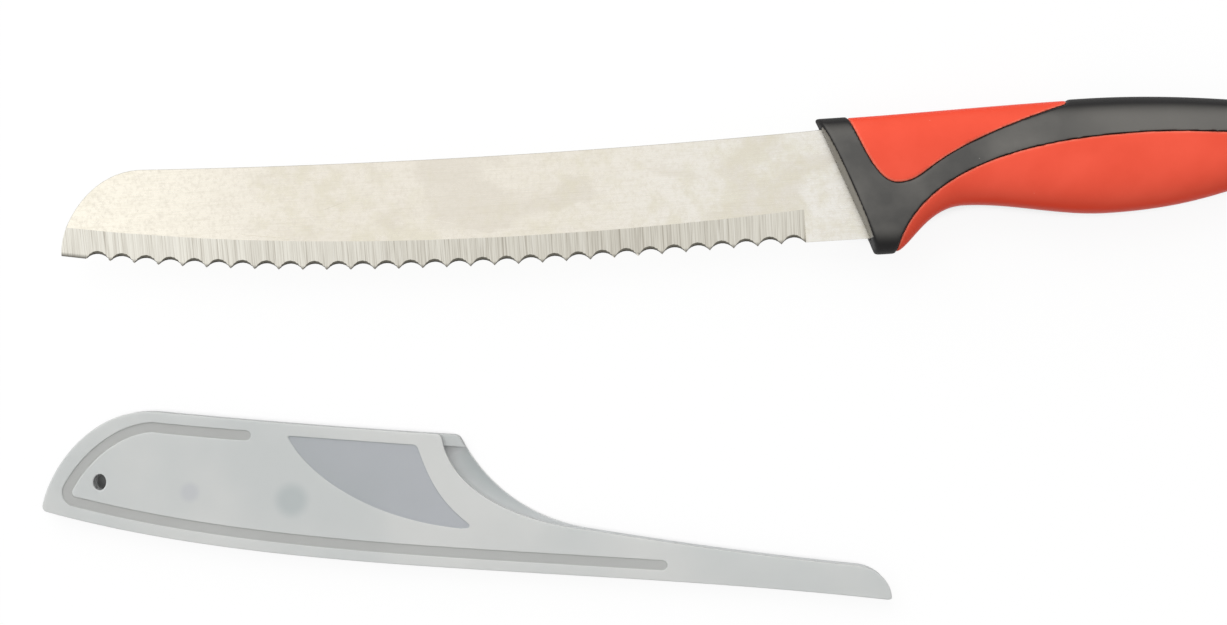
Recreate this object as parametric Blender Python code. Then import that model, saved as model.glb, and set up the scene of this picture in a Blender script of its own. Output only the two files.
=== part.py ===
"""Bread knife with a two-colour moulded handle, and its slide-on blade guard lying beside it.

Metres, +Z up. The knife lies on its side along X, tip towards -X and spine towards +Y. The origin is the
middle of the footprint, on the table. In the knife's own frame x runs from just behind the collar's front, y
up to the spine, and z from the middle of the blade's thickness.
"""

from math import atan2, cos, pi, radians, sin, tan

import bmesh
import bpy
import numpy as np
from mathutils import Vector
from mathutils.geometry import interpolate_bezier

MM = 0.001

# Fits
FIT_GAP = 0.3 * MM

# Blade. A curl is the share of a stretch over which its line stays nearly level, or nearly upright.
BLADE_LENGTH = 197.6 * MM
BLADE_THICKNESS = 1.8 * MM
SPINE_NOSE_HEIGHT = 15.7 * MM
SPINE_HEEL_HEIGHT = 15.5 * MM
SPINE_SAG = 1.8 * MM
NOSE_RUN = 20.9 * MM
NOSE_TOP_CURL = 0.66
NOSE_FRONT_CURL = 0.285
TIP_CORNER_DROP = 4.5 * MM
HEEL_DROP = 12.45 * MM
EDGE_BELLY_DROP = 13.3 * MM
EDGE_FRONT_DROP = 16.5 * MM
EDGE_BELLY_REACH = 46 * MM
EDGE_FRONT_REACH = 67 * MM
HEEL_PLAIN = 11.5 * MM

# Ground bevel and scallops. Both are ground from the shown side, so a scallop is shallower on the back.
BEVEL_HEEL_HEIGHT = 8.15 * MM
BEVEL_BELLY_HEIGHT = 5.95 * MM
BEVEL_NOSE_HEIGHT = 7.3 * MM
EDGE_THICKNESS = 0.45 * MM
SCALLOP_PITCH = 6.0 * MM
SCALLOP_DEPTH = 1.5 * MM
SCALLOP_SLANT = radians(40)
TOOTH_FLAT = 0.1 * MM
NOSE_PLAIN = 5.5 * MM

# Tang, hidden in the handle
TANG_LENGTH = 75 * MM
TANG_HEIGHT = 12 * MM
TANG_MIDDLE = 6.5 * MM
TANG_HOLE = 5 * MM
TANG_HOLE_FROM_END = 17 * MM
TANG_HOLE_PITCH = 28 * MM

# Handle
HANDLE_LENGTH = 123 * MM
COLLAR_AHEAD = 0.9 * MM
COLLAR_LEAN = radians(20.5)
COLLAR_LEAN_RUN = 32 * MM
COLLAR_DRAFT = 1.2 * MM
COLLAR_DRAFT_RUN = 9 * MM
COLLAR_ROUND = 0.8 * MM
COLLAR_WALL = 2.5 * MM
COLLAR_TOP_STEP = 2.35 * MM
COLLAR_TOE_STEP = 3.95 * MM
COLLAR_HALF_WIDTH = 7.8 * MM
TOE_END = 10 * MM
TOE_CURL = 0.23
NOTCH_PLACE = 28.3 * MM
NOTCH_CURL = 0.54
NOTCH_DROP = 5.65 * MM
NOTCH_HALF_WIDTH = 8.2 * MM
BELLY_PLACE = 64 * MM
BELLY_CURL = 0.57
BELLY_DROP = 9.75 * MM
BELLY_HALF_WIDTH = 9.5 * MM
BACK_CREST_PLACE = 60 * MM
BACK_CREST_HEIGHT = 18.85 * MM
WAIST_FROM_BUTT = 12 * MM
WAIST_CURL = 0.3
WAIST_DROP = 3.6 * MM
WAIST_HALF_WIDTH = 8.6 * MM
BUTT_SLOPE = 4 * MM
BUTT_HEIGHT = 12 * MM
BUTT_DROP = 6 * MM
BUTT_HALF_WIDTH = 8.8 * MM
BUTT_ROUND = 10 * MM
SECTION_SQUARENESS = 2.5
RING_POINTS = 28
RING_SPACING = 4.5 * MM

# Soft grip
GRIP_THICKNESS = 2.0 * MM
GRIP_PROUD = 0.25 * MM
WEDGE_FRONT = 0.4 * MM
WEDGE_LOW_PLACE = 11.5 * MM
WEDGE_LOW_HEIGHT = 0.7 * MM
WEDGE_FRONT_CURL = 5.3 * MM
WEDGE_REAR_CURL = 8.6 * MM
WEDGE_END = 54.3 * MM
WEDGE_END_HEIGHT = 17.5 * MM
WEDGE_END_SLOPE = radians(15)
WEDGE_END_REACH = 39.9 * MM
BAND_FOOT_PLACE = 10.2 * MM
BAND_FOOT_DROP = 18 * MM
BAND_RISE = 7 * MM
BAND_CREST_PLACE = 71.5 * MM
BAND_CREST_HEIGHT = 9.4 * MM
BAND_CREST_REACH = 53.7 * MM
BAND_BUTT_HEIGHT = 5 * MM

# Guard, a back wall, a rim round the blade's room and a front wall, welded face to face
GUARD_AHEAD = 2.1 * MM
GUARD_ASIDE = 84.9 * MM
GUARD_TURN = radians(-6.35)
GUARD_WALL = 1.3 * MM
GUARD_SIDE_CLEARANCE = 0.4 * MM
GUARD_EDGE_CLEARANCE = 0.8 * MM
GUARD_SPINE_MARGIN = 3.8 * MM
GUARD_HEEL_MARGIN = 5.95 * MM
GUARD_BELLY_MARGIN = 0.1 * MM
GUARD_FRONT_MARGIN = 3.75 * MM
GUARD_TIP_MARGIN = 2.0 * MM
GUARD_TIP_ROOM = 7.0 * MM
GUARD_NOSE_WALL = 5.6 * MM
GUARD_NOSE_RUN = 26.7 * MM
GUARD_BELLY_REACH = 82 * MM
GUARD_FRONT_REACH = 61.1 * MM
GUARD_CORNER = 1.2 * MM

# Mouth of the guard, and the arm that runs on under the edge to the handle
CHEEK_LENGTH = 104 * MM
MOUTH_RUN = 35.2 * MM
MOUTH_DIP = 11.9 * MM
MOUTH_DIP_RUN = 6.4 * MM
MOUTH_SWEEP = 16.5 * MM
MOUTH_SWEEP_RISE = 1.4 * MM
MOUTH_CUT_BACK = 4.4 * MM
MOUTH_CUT_SWEEP = 24 * MM
ARM_END = 5.05 * MM
ARM_END_RUN = 9.5 * MM
ARM_HEIGHT = 8.3 * MM
ARM_BOW = 0.7 * MM
ARM_ROOT_DROP = 4.6 * MM

# Recesses in the front of the guard, its hanging hole, and the round pads inside that steady the blade
RECESS_DEPTH = 0.6 * MM
STRIPE_INSET = 3.85 * MM
STRIPE_SLANT_INSET = 1.2 * MM
STRIPE_WIDTH = 2.5 * MM
STRIPE_CORNER = 2.2 * MM
STRIPE_TO_MOUTH = 53.5 * MM
STRIPE_TO_ARM_END = 58.2 * MM
FIN_TOP_MARGIN = 3.1 * MM
FIN_FRONT_TO_MOUTH = 43.2 * MM
FIN_REAR_TO_MOUTH = 10.4 * MM
FIN_TIP_PAST_MOUTH = 5.6 * MM
FIN_TIP_DROP = 5.8 * MM
FIN_CORNER = 0.8 * MM
FIN_TIP_ROUND = 1.9 * MM
HANG_HOLE_FROM_TIP = Vector((14.2 * MM, 7.9 * MM))
HANG_HOLE_LENGTH = 4.1 * MM
HANG_HOLE_WIDTH = 3.3 * MM
PAD_HEIGHT = 0.25 * MM
LARGE_PAD_FROM_TIP = Vector((62.8 * MM, 5.8 * MM))
LARGE_PAD = 8.4 * MM
SMALL_PAD_FROM_TIP = Vector((37 * MM, 6.5 * MM))
SMALL_PAD = 5 * MM

# How far a cutter runs past what it cuts
CUT_REACH = 2 * BELLY_HALF_WIDTH

# Curve quality
CURVE_STEPS = 20
SCALLOP_STEPS = 8
ROUND_SEGMENTS = 24
CORNER_SEGMENTS = 5
ROUND_BULGE = 0.55
SHARP_TURN = radians(35)
SMOOTH_ANGLE = radians(30)


def linear(code):
    """A material colour from an sRGB hex code."""
    shares = [int(code[i : i + 2], 16) / 255 for i in (1, 3, 5)]
    return [s / 12.92 if s <= 0.04045 else ((s + 0.055) / 1.055) ** 2.4 for s in shares] + [1]


def material(name, code, roughness, metallic=0.0):
    """A plain Principled material."""
    made = bpy.data.materials.new(name)
    made.use_nodes = True
    shader = made.node_tree.nodes["Principled BSDF"]
    shader.inputs["Base Color"].default_value = linear(code)
    shader.inputs["Roughness"].default_value = roughness
    shader.inputs["Metallic"].default_value = metallic
    return made


# Flat outlines


def bezier(start, start_handle, end_handle, end, steps=CURVE_STEPS):
    """Points along one cubic curve, with both ends."""
    corners = [Vector((*corner[:2], 0)) for corner in (start, start_handle, end_handle, end)]
    return [point.to_2d() for point in interpolate_bezier(*corners, steps + 1)]


def nose_curve(top, tip):
    """A rounded nose from the front end of a level spine down to an upright front at the tip."""
    run, rise = top - tip
    return bezier(
        top, (top.x - run * NOSE_TOP_CURL, top.y), (tip.x, tip.y + rise * NOSE_FRONT_CURL), tip
    )


def joined(*runs):
    """One closed outline from runs that each start where the last one ended."""
    outline = []
    for run in runs:
        for point in run:
            if not outline or (point - outline[-1]).length > FIT_GAP / 3:
                outline.append(point)
    if (outline[0] - outline[-1]).length < FIT_GAP / 3:
        outline.pop()
    return outline


def side_shifted(points, distance, closed=True, slant=0.0):
    """The points moved to the right of their travel, mitred at the turns, and further on a slant."""
    moved = []
    for i, point in enumerate(points):
        before = points[i - 1] if closed or i else point
        after = points[(i + 1) % len(points)] if closed or i + 1 < len(points) else point
        normals = []
        for start, end in ((before, point), (point, after)):
            if (end - start).length > 0:
                along = (end - start).normalized()
                normals.append(Vector((along.y, -along.x)))
        middle = sum(normals, Vector((0, 0))).normalized()
        reach = distance + slant * 2 * abs(middle.x * middle.y)
        moved.append(point + middle * reach / max(0.5, middle.dot(normals[0])))
    return moved


def height_at(points, place):
    """The height of a run of points at one x."""
    ordered = sorted((point.x, point.y) for point in points)
    return float(np.interp(place, *zip(*ordered)))


def level_curve(start, end, start_curl=1 / 3, end_curl=1 / 3):
    """A curve between two points that leaves and arrives level, with the curls as shares of its run."""
    run = end[0] - start[0]
    return bezier(start, (start[0] + run * start_curl, start[1]), (end[0] - run * end_curl, end[1]), end)


# Blocks that the pieces are made of


def in_collection(name):
    """The named collection, made on first use."""
    found = bpy.data.collections.get(name)
    if not found:
        found = bpy.data.collections.new(name)
        bpy.context.scene.collection.children.link(found)
    return found


def placed(name, mesh, collection):
    """An object for the mesh, in the named collection."""
    made = bpy.data.objects.new(name, mesh)
    in_collection(collection).objects.link(made)
    if collection == "cutters":
        made.hide_render = True
        made.display_type = "WIRE"
    return made


def plate(name, outline, low, high, corner=0.0, collection="cutters"):
    """A flat plate of the outline from one height to another, its sharp corners rounded on request."""
    curve = bpy.data.curves.new(name, "CURVE")
    curve.dimensions = "2D"
    curve.fill_mode = "BOTH"
    curve.extrude = (high - low) / 2
    spline = curve.splines.new("POLY")
    spline.points.add(len(outline) - 1)
    for spot, point in zip(spline.points, outline):
        spot.co = (point.x, point.y, 0, 1)
    spline.use_cyclic_u = True
    guide = placed(name + "_outline", curve, "cutters")
    graph = bpy.context.evaluated_depsgraph_get()
    mesh = bpy.data.meshes.new_from_object(guide.evaluated_get(graph))
    bpy.data.objects.remove(guide)
    mesh.name = name
    solid = bmesh.new()
    solid.from_mesh(mesh)
    bmesh.ops.remove_doubles(solid, verts=solid.verts, dist=FIT_GAP / 100)
    bmesh.ops.translate(solid, verts=solid.verts, vec=(0, 0, (low + high) / 2))
    bmesh.ops.recalc_face_normals(solid, faces=solid.faces)
    if corner:
        half = (high - low) / 2
        upright = [edge for edge in solid.edges if abs(edge.verts[0].co.z - edge.verts[1].co.z) > half]
        sharp = [edge for edge in upright if edge.calc_face_angle() > SHARP_TURN]
        bmesh.ops.bevel(
            solid,
            geom=sharp,
            offset=corner,
            segments=CORNER_SEGMENTS,
            profile=0.5,
            affect="EDGES",
            material=-1,
        )
    solid.to_mesh(mesh)
    solid.free()
    return placed(name, mesh, collection)


def loft(name, *rows, collection="cutters"):
    """A closed skin over each row of rings with equal counts. An even ring's cap folds along its middle."""
    solid = bmesh.new()
    for rings in rows:
        loops = [[solid.verts.new(point) for point in ring] for ring in rings]
        count = len(loops[0])
        for near, far in zip(loops, loops[1:]):
            for i in range(count):
                j = (i + 1) % count
                solid.faces.new((near[i], near[j], far[j], far[i]))
        for cap in (loops[0], loops[-1]):
            half = count // 2 if count % 2 == 0 else count
            solid.faces.new(cap[: half + 1])
            if half < count:
                solid.faces.new(cap[half:] + cap[:1])
    bmesh.ops.recalc_face_normals(solid, faces=solid.faces)
    mesh = bpy.data.meshes.new(name)
    solid.to_mesh(mesh)
    solid.free()
    return placed(name, mesh, collection)


def rod(name, place, diameter, low, high, length=None):
    """An upright rod, round or with a longer diameter along y."""
    solid = bmesh.new()
    bmesh.ops.create_cone(
        solid,
        cap_ends=True,
        segments=ROUND_SEGMENTS,
        radius1=diameter / 2,
        radius2=diameter / 2,
        depth=high - low,
    )
    bmesh.ops.scale(solid, verts=solid.verts, vec=(1, (length or diameter) / diameter, 1))
    bmesh.ops.translate(solid, verts=solid.verts, vec=(place.x, place.y, (low + high) / 2))
    mesh = bpy.data.meshes.new(name)
    solid.to_mesh(mesh)
    solid.free()
    return placed(name, mesh, "cutters")


def combine(piece, operation, *others):
    """Boolean modifiers on the piece, one for each of the others."""
    for other in others:
        boolean = piece.modifiers.new(other.name, "BOOLEAN")
        boolean.operation = operation
        boolean.object = other
        boolean.solver = "EXACT"


# Blade


def spine_height(place):
    """The blade's slightly hollow spine at one x."""
    start = NOSE_RUN - BLADE_LENGTH
    share = 1 - place / start
    chord = SPINE_NOSE_HEIGHT + (SPINE_HEEL_HEIGHT - SPINE_NOSE_HEIGHT) * share
    return chord - SPINE_SAG * 4 * share * (1 - share)


def edge_curve(rises=(0, 0, 0, 0)):
    """The line through the tooth tips, from the heel to the tip corner, or a line above it."""
    heel, belly, front, tip = rises
    return bezier(
        (-HEEL_PLAIN, heel - HEEL_DROP),
        (-HEEL_PLAIN - EDGE_BELLY_REACH, belly - EDGE_BELLY_DROP),
        (EDGE_FRONT_REACH - BLADE_LENGTH, front - EDGE_FRONT_DROP),
        (-BLADE_LENGTH, tip - TIP_CORNER_DROP),
        2 * CURVE_STEPS,
    )


def tooth_tips():
    """The points of the teeth, from the nose to the heel, on the line of the edge."""
    line = edge_curve()
    count = int((BLADE_LENGTH - HEEL_PLAIN - NOSE_PLAIN) / SCALLOP_PITCH)
    places = [-HEEL_PLAIN - SCALLOP_PITCH * (count - i) for i in range(count + 1)]
    return [Vector((place, height_at(line, place))) for place in places]


def scallop_ring(start, end, level):
    """The section of one scallop's grinding cut at one height, a round arch that stands on two legs."""
    half_thickness = BLADE_THICKNESS / 2
    depth = SCALLOP_DEPTH + tan(SCALLOP_SLANT) * (level + half_thickness)
    along = (end - start).normalized()
    upward = Vector((-along.y, along.x))
    half = (end - start).length / 2 - TOOTH_FLAT / 2
    radius = (half**2 + depth**2) / (2 * depth)
    middle = (start + end) / 2
    centre = middle + upward * (depth - radius)
    reach = atan2(half, radius - depth)
    arch = []
    for step in range(SCALLOP_STEPS + 1):
        angle = reach * (2 * step / SCALLOP_STEPS - 1)
        arch.append(centre + radius * (sin(angle) * along + cos(angle) * upward))
    legs = [middle + side * half * along - upward * SCALLOP_DEPTH for side in (1, -1)]
    return [(point.x, point.y, level) for point in arch + legs]


def scallop_cutter():
    """The cuts of all scallops, side by side."""
    tips = tooth_tips()
    reach = BLADE_THICKNESS * 0.6
    spans = zip(tips, tips[1:])
    rows = [[scallop_ring(start, end, level) for level in (-reach, reach)] for start, end in spans]
    return loft("scallops", *rows)


def collar_line(height, depth=0.0):
    """A point that lies the given depth behind the leaning front of the collar."""
    return Vector((depth - COLLAR_AHEAD - height * tan(COLLAR_LEAN), height))


def blade_outline():
    """The blade and its tang in one outline, from the tip corner round the edge first."""
    tang_low = TANG_MIDDLE - TANG_HEIGHT / 2
    tang_high = TANG_MIDDLE + TANG_HEIGHT / 2
    tang = [
        collar_line(-HEEL_DROP, COLLAR_WALL),
        collar_line(tang_low, COLLAR_WALL),
        Vector((TANG_LENGTH, tang_low)),
        Vector((TANG_LENGTH, tang_high)),
        collar_line(tang_high, COLLAR_WALL),
        collar_line(SPINE_HEEL_HEIGHT, COLLAR_WALL),
    ]
    start = NOSE_RUN - BLADE_LENGTH
    spine = [Vector((start * step / CURVE_STEPS, spine_height(start * step / CURVE_STEPS)))
             for step in range(1, CURVE_STEPS + 1)]
    nose = nose_curve(spine[-1], Vector((-BLADE_LENGTH, -TIP_CORNER_DROP)))
    return joined(edge_curve()[::-1], tang, spine, nose)


def bevel_cutter():
    """The wedge ground off the shown side, from the bevel line down past the tooth tips."""
    tips = edge_curve()
    bevel = edge_curve((BEVEL_HEEL_HEIGHT, BEVEL_BELLY_HEIGHT, BEVEL_NOSE_HEIGHT, BEVEL_NOSE_HEIGHT))
    tips.append(tips[-1] + (tips[-1] - tips[-2]) * 2)
    bevel.append(bevel[-1] + (bevel[-1] - bevel[-2]) * 2)
    rings = []
    for tip, line in zip(tips, bevel):
        fall = (BLADE_THICKNESS - EDGE_THICKNESS) / (line.y - tip.y)
        above = line.y + BLADE_THICKNESS / fall
        below = tip.y - SCALLOP_DEPTH
        top = BLADE_THICKNESS * 1.5
        low = BLADE_THICKNESS / 2 - (line.y - below) * fall
        rings.append([(line.x, above, top), (line.x, below, low), (line.x, below, top)])
    return loft("bevel_wedge", rings)


def tang_rods(name, diameter, reach):
    """A rod through each of the tang's two holes."""
    rear = TANG_LENGTH - TANG_HOLE_FROM_END
    places = (rear - TANG_HOLE_PITCH, rear)
    return [rod(name, Vector((place, TANG_MIDDLE)), diameter, -reach, reach) for place in places]


def make_blade():
    """The stamped blade with its tang."""
    half = BLADE_THICKNESS / 2
    blade = plate("blade", blade_outline(), -half, half, collection="bread_knife")
    holes = tang_rods("tang_hole", TANG_HOLE, CUT_REACH)
    combine(blade, "DIFFERENCE", *holes, bevel_cutter(), scallop_cutter())
    return blade


# Handle


def handle_lines():
    """The handle's back, its underside and its half width, each as points over x."""
    waist = HANDLE_LENGTH - WAIST_FROM_BUTT
    collar_top = SPINE_HEEL_HEIGHT + COLLAR_TOP_STEP
    toe_drop = HEEL_DROP + COLLAR_TOE_STEP
    crest = (BACK_CREST_PLACE, BACK_CREST_HEIGHT)
    notch = (NOTCH_PLACE, -NOTCH_DROP)
    belly = (BELLY_PLACE, -BELLY_DROP)
    third = (HANDLE_LENGTH - BACK_CREST_PLACE) / 3
    back = level_curve(collar_line(collar_top), crest) + bezier(
        crest,
        (BACK_CREST_PLACE + third, BACK_CREST_HEIGHT),
        (HANDLE_LENGTH - third, BUTT_HEIGHT + BUTT_SLOPE),
        (HANDLE_LENGTH, BUTT_HEIGHT),
    )
    underside = (
        [collar_line(-toe_drop)]
        + level_curve((TOE_END, -toe_drop), notch, TOE_CURL, NOTCH_CURL)
        + level_curve(notch, belly)
        + level_curve(belly, (waist, -WAIST_DROP), BELLY_CURL, WAIST_CURL)
        + level_curve((waist, -WAIST_DROP), (HANDLE_LENGTH, -BUTT_DROP))
    )
    half_width = (
        level_curve((0, COLLAR_HALF_WIDTH), (NOTCH_PLACE, NOTCH_HALF_WIDTH))
        + level_curve((NOTCH_PLACE, NOTCH_HALF_WIDTH), (BELLY_PLACE, BELLY_HALF_WIDTH))
        + level_curve((BELLY_PLACE, BELLY_HALF_WIDTH), (waist, WAIST_HALF_WIDTH))
        + level_curve((waist, WAIST_HALF_WIDTH), (HANDLE_LENGTH, BUTT_HALF_WIDTH))
    )
    return back, underside, half_width


def handle_ring(lines, place, inset, shrink=1.0):
    """One rounded section of the handle, leaning with the collar near the front."""
    back, underside, half_width = lines
    settle = min(max(place / COLLAR_LEAN_RUN, 0), 1)
    lean = tan(COLLAR_LEAN) * (1 - settle**2 * (3 - 2 * settle))
    draft = COLLAR_DRAFT / COLLAR_HALF_WIDTH * max(0, 1 - place / COLLAR_DRAFT_RUN)
    high, low = height_at(back, place), height_at(underside, place)
    for _ in range(CURVE_STEPS):
        high = height_at(back, place - lean * high)
        low = height_at(underside, place - lean * low)
    middle = (high + low) / 2
    tall = ((high - low) / 2 - inset) * shrink
    wide = (height_at(half_width, place) - inset) * shrink
    ring = []
    for i in range(RING_POINTS):
        angle = 2 * pi * i / RING_POINTS
        up, out = (np.sign(part) * abs(part) ** (2 / SECTION_SQUARENESS) for part in (cos(angle), sin(angle)))
        y, z = middle + tall * up, wide * out
        ring.append((place - lean * y + draft * abs(z), y, z))
    return ring


def handle_form(name, inset, front=0.0, collection="cutters"):
    """The whole handle's form, made smaller all round by the inset and set back at the front."""
    lines = handle_lines()
    start = front - COLLAR_AHEAD
    round_start = HANDLE_LENGTH - inset - BUTT_ROUND
    count = int((round_start - start) / RING_SPACING)
    rings = []
    for share in (0, 0.3, 1):
        rounding = COLLAR_ROUND * (1 - (1 - (1 - share) ** 2) ** 0.5)
        rings.append(handle_ring(lines, start + COLLAR_ROUND * share, inset + rounding))
    for step in range(1, count + 1):
        place = start + COLLAR_ROUND + (round_start - start - COLLAR_ROUND) * step / count
        rings.append(handle_ring(lines, place, inset))
    for share in (0.35, 0.6, 0.8, 0.92, 0.985):
        shrink = (1 - share**SECTION_SQUARENESS) ** (1 / SECTION_SQUARENESS)
        rings.append(handle_ring(lines, round_start + BUTT_ROUND * share, inset, shrink))
    return loft(name, rings, collection=collection)


def grip_zone(name, grow):
    """A block through the handle of all that is black from the side, grown by the given gap."""
    beyond = HANDLE_LENGTH + CUT_REACH
    high = BACK_CREST_HEIGHT + CUT_REACH
    low = -HEEL_DROP - COLLAR_TOE_STEP - CUT_REACH
    wedge_low = Vector((WEDGE_LOW_PLACE, WEDGE_LOW_HEIGHT))
    wedge_end = Vector((WEDGE_END, WEDGE_END_HEIGHT))
    wedge_top = Vector((WEDGE_FRONT, SPINE_HEEL_HEIGHT + COLLAR_TOP_STEP))
    crest = Vector((BAND_CREST_PLACE, BAND_CREST_HEIGHT))
    foot = Vector((BAND_FOOT_PLACE, -BAND_FOOT_DROP))
    rear = Vector((HANDLE_LENGTH, BAND_BUTT_HEIGHT))
    rear_third = (rear - crest) / 3
    down = Vector((sin(COLLAR_LEAN), -cos(COLLAR_LEAN)))
    climb = Vector((cos(WEDGE_END_SLOPE), sin(WEDGE_END_SLOPE)))
    outline = joined(
        [Vector((-CUT_REACH, low)), Vector((foot.x, low))],
        bezier(foot, foot + Vector((COLLAR_DRAFT, BAND_RISE)), crest - Vector((BAND_CREST_REACH, 0)), crest),
        bezier(crest, crest + Vector((rear_third.x, 0)), rear - rear_third, rear),
        [Vector((beyond, rear.y)), Vector((beyond, high)), Vector((wedge_end.x, high))],
        bezier(
            wedge_end,
            wedge_end - climb * WEDGE_END_REACH,
            wedge_low + Vector((WEDGE_REAR_CURL, 0)),
            wedge_low,
        ),
        bezier(
            wedge_low,
            wedge_low - Vector((WEDGE_FRONT_CURL, 0)),
            wedge_top + down * (wedge_top - wedge_low).y * 0.45,
            wedge_top,
        ),
        [wedge_top - down * CUT_REACH, Vector((-CUT_REACH, wedge_top.y + CUT_REACH))],
    )
    return plate(name, side_shifted(outline, grow), -CUT_REACH, CUT_REACH)


def make_soft_grip():
    """The black moulding: the collar, the diagonal band and the back, over the core."""
    grip = handle_form("soft_grip", -GRIP_PROUD, collection="bread_knife")
    hollow = handle_form("grip_hollow", GRIP_THICKNESS - GRIP_PROUD, COLLAR_WALL)
    half = BLADE_THICKNESS / 2 + FIT_GAP
    slot_outline = [
        collar_line(-HEEL_DROP - FIT_GAP, -CUT_REACH),
        collar_line(-HEEL_DROP - FIT_GAP, COLLAR_WALL + GRIP_THICKNESS),
        collar_line(SPINE_HEEL_HEIGHT + FIT_GAP, COLLAR_WALL + GRIP_THICKNESS),
        collar_line(SPINE_HEEL_HEIGHT + FIT_GAP, -CUT_REACH),
    ]
    slot = plate("collar_slot", slot_outline, -half, half)
    combine(grip, "INTERSECT", grip_zone("grip_zone", 0))
    combine(grip, "DIFFERENCE", hollow, slot)
    return grip


def make_handle_core():
    """The red moulding: full size where it shows, smaller under the grip, closed round the tang."""
    core = handle_form("handle_core", 0, collection="bread_knife")
    inner = handle_form("core_under_grip", GRIP_THICKNESS - GRIP_PROUD + FIT_GAP, COLLAR_WALL + FIT_GAP)
    half = BLADE_THICKNESS / 2 + FIT_GAP
    reach = TANG_HEIGHT / 2 + FIT_GAP
    pocket_outline = [
        Vector((-CUT_REACH, TANG_MIDDLE - reach)),
        Vector((TANG_LENGTH + FIT_GAP, TANG_MIDDLE - reach)),
        Vector((TANG_LENGTH + FIT_GAP, TANG_MIDDLE + reach)),
        Vector((-CUT_REACH, TANG_MIDDLE + reach)),
    ]
    pocket = plate("tang_pocket", pocket_outline, -half, half)
    posts = tang_rods("tang_post", TANG_HOLE - 2 * FIT_GAP, 2 * half)
    combine(core, "DIFFERENCE", grip_zone("grip_zone_grown", FIT_GAP))
    combine(core, "UNION", inner)
    combine(core, "DIFFERENCE", pocket)
    combine(core, "UNION", *posts)
    return core


# Guard, drawn in the knife's frame as it sits on the blade


def guard_tip():
    """The guard's lower front corner."""
    return Vector((-BLADE_LENGTH - GUARD_TIP_ROOM - GUARD_NOSE_WALL, -TIP_CORNER_DROP - GUARD_TIP_MARGIN))


def guard_spine(place):
    """A point on the guard's outer spine at one x."""
    return Vector((place, spine_height(place) + GUARD_SPINE_MARGIN))


def mouth_corner(cut_back=0.0):
    """The end of the spine at the mouth, set back from the handle on request."""
    return guard_spine(guard_tip().x + CHEEK_LENGTH - cut_back)


def guard_edge():
    """The guard's outer edge, from the tip corner to the end of the arm."""
    tip = guard_tip()
    arm = Vector((ARM_END, -HEEL_DROP - GUARD_HEEL_MARGIN))
    return bezier(
        tip,
        (tip.x + GUARD_FRONT_REACH, -EDGE_FRONT_DROP - GUARD_FRONT_MARGIN),
        (arm.x - GUARD_BELLY_REACH, -EDGE_BELLY_DROP - GUARD_BELLY_MARGIN),
        arm,
        2 * CURVE_STEPS,
    )


def guard_outline(cut_back=0.0, sweep=MOUTH_SWEEP):
    """The guard's outer shape, its mouth set back from the handle on request."""
    edge = guard_edge()
    tip, arm = edge[0], edge[-1]
    mouth = mouth_corner(cut_back)
    arm_top = Vector((arm.x - ARM_END_RUN, arm.y + ARM_HEIGHT))
    arm_root = Vector((mouth_corner().x + MOUTH_RUN, -ARM_ROOT_DROP))
    arm_third = (arm_root - arm_top) / 3
    bow = Vector((0, ARM_BOW))
    bulge = Vector((ARM_END_RUN, ARM_HEIGHT)) * ROUND_BULGE
    nose_start = guard_spine(tip.x + GUARD_NOSE_RUN)
    dip = Vector((MOUTH_DIP_RUN - cut_back, -MOUTH_DIP))
    return joined(
        edge,
        bezier(arm, arm + Vector((0, bulge.y)), arm_top + Vector((bulge.x, 0)), arm_top),
        bezier(arm_top, arm_top + arm_third - bow, arm_root - arm_third - bow, arm_root),
        bezier(arm_root, arm_root + Vector((-sweep, MOUTH_SWEEP_RISE)), mouth + dip, mouth),
        [guard_spine(place) for place in np.linspace(mouth.x, nose_start.x, CURVE_STEPS)],
        nose_curve(nose_start, tip),
    )


def room_outline():
    """The room for the blade: its outline with clearance, open past the mouth and the arm."""
    start = NOSE_RUN - BLADE_LENGTH - GUARD_TIP_ROOM
    past = ARM_END + CUT_REACH
    stretch = 1 + GUARD_TIP_ROOM / BLADE_LENGTH
    edge = [Vector((point.x * stretch, point.y)) for point in reversed(edge_curve())]
    spine = [Vector((place, spine_height(place))) for place in np.linspace(0, start, CURVE_STEPS)]
    nose = nose_curve(spine[-1], Vector((start - NOSE_RUN, -TIP_CORNER_DROP)))
    open_end = [Vector((past, -HEEL_DROP)), Vector((past, spine[0].y))]
    return side_shifted(joined(edge, open_end, spine, nose), GUARD_EDGE_CLEARANCE)


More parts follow.
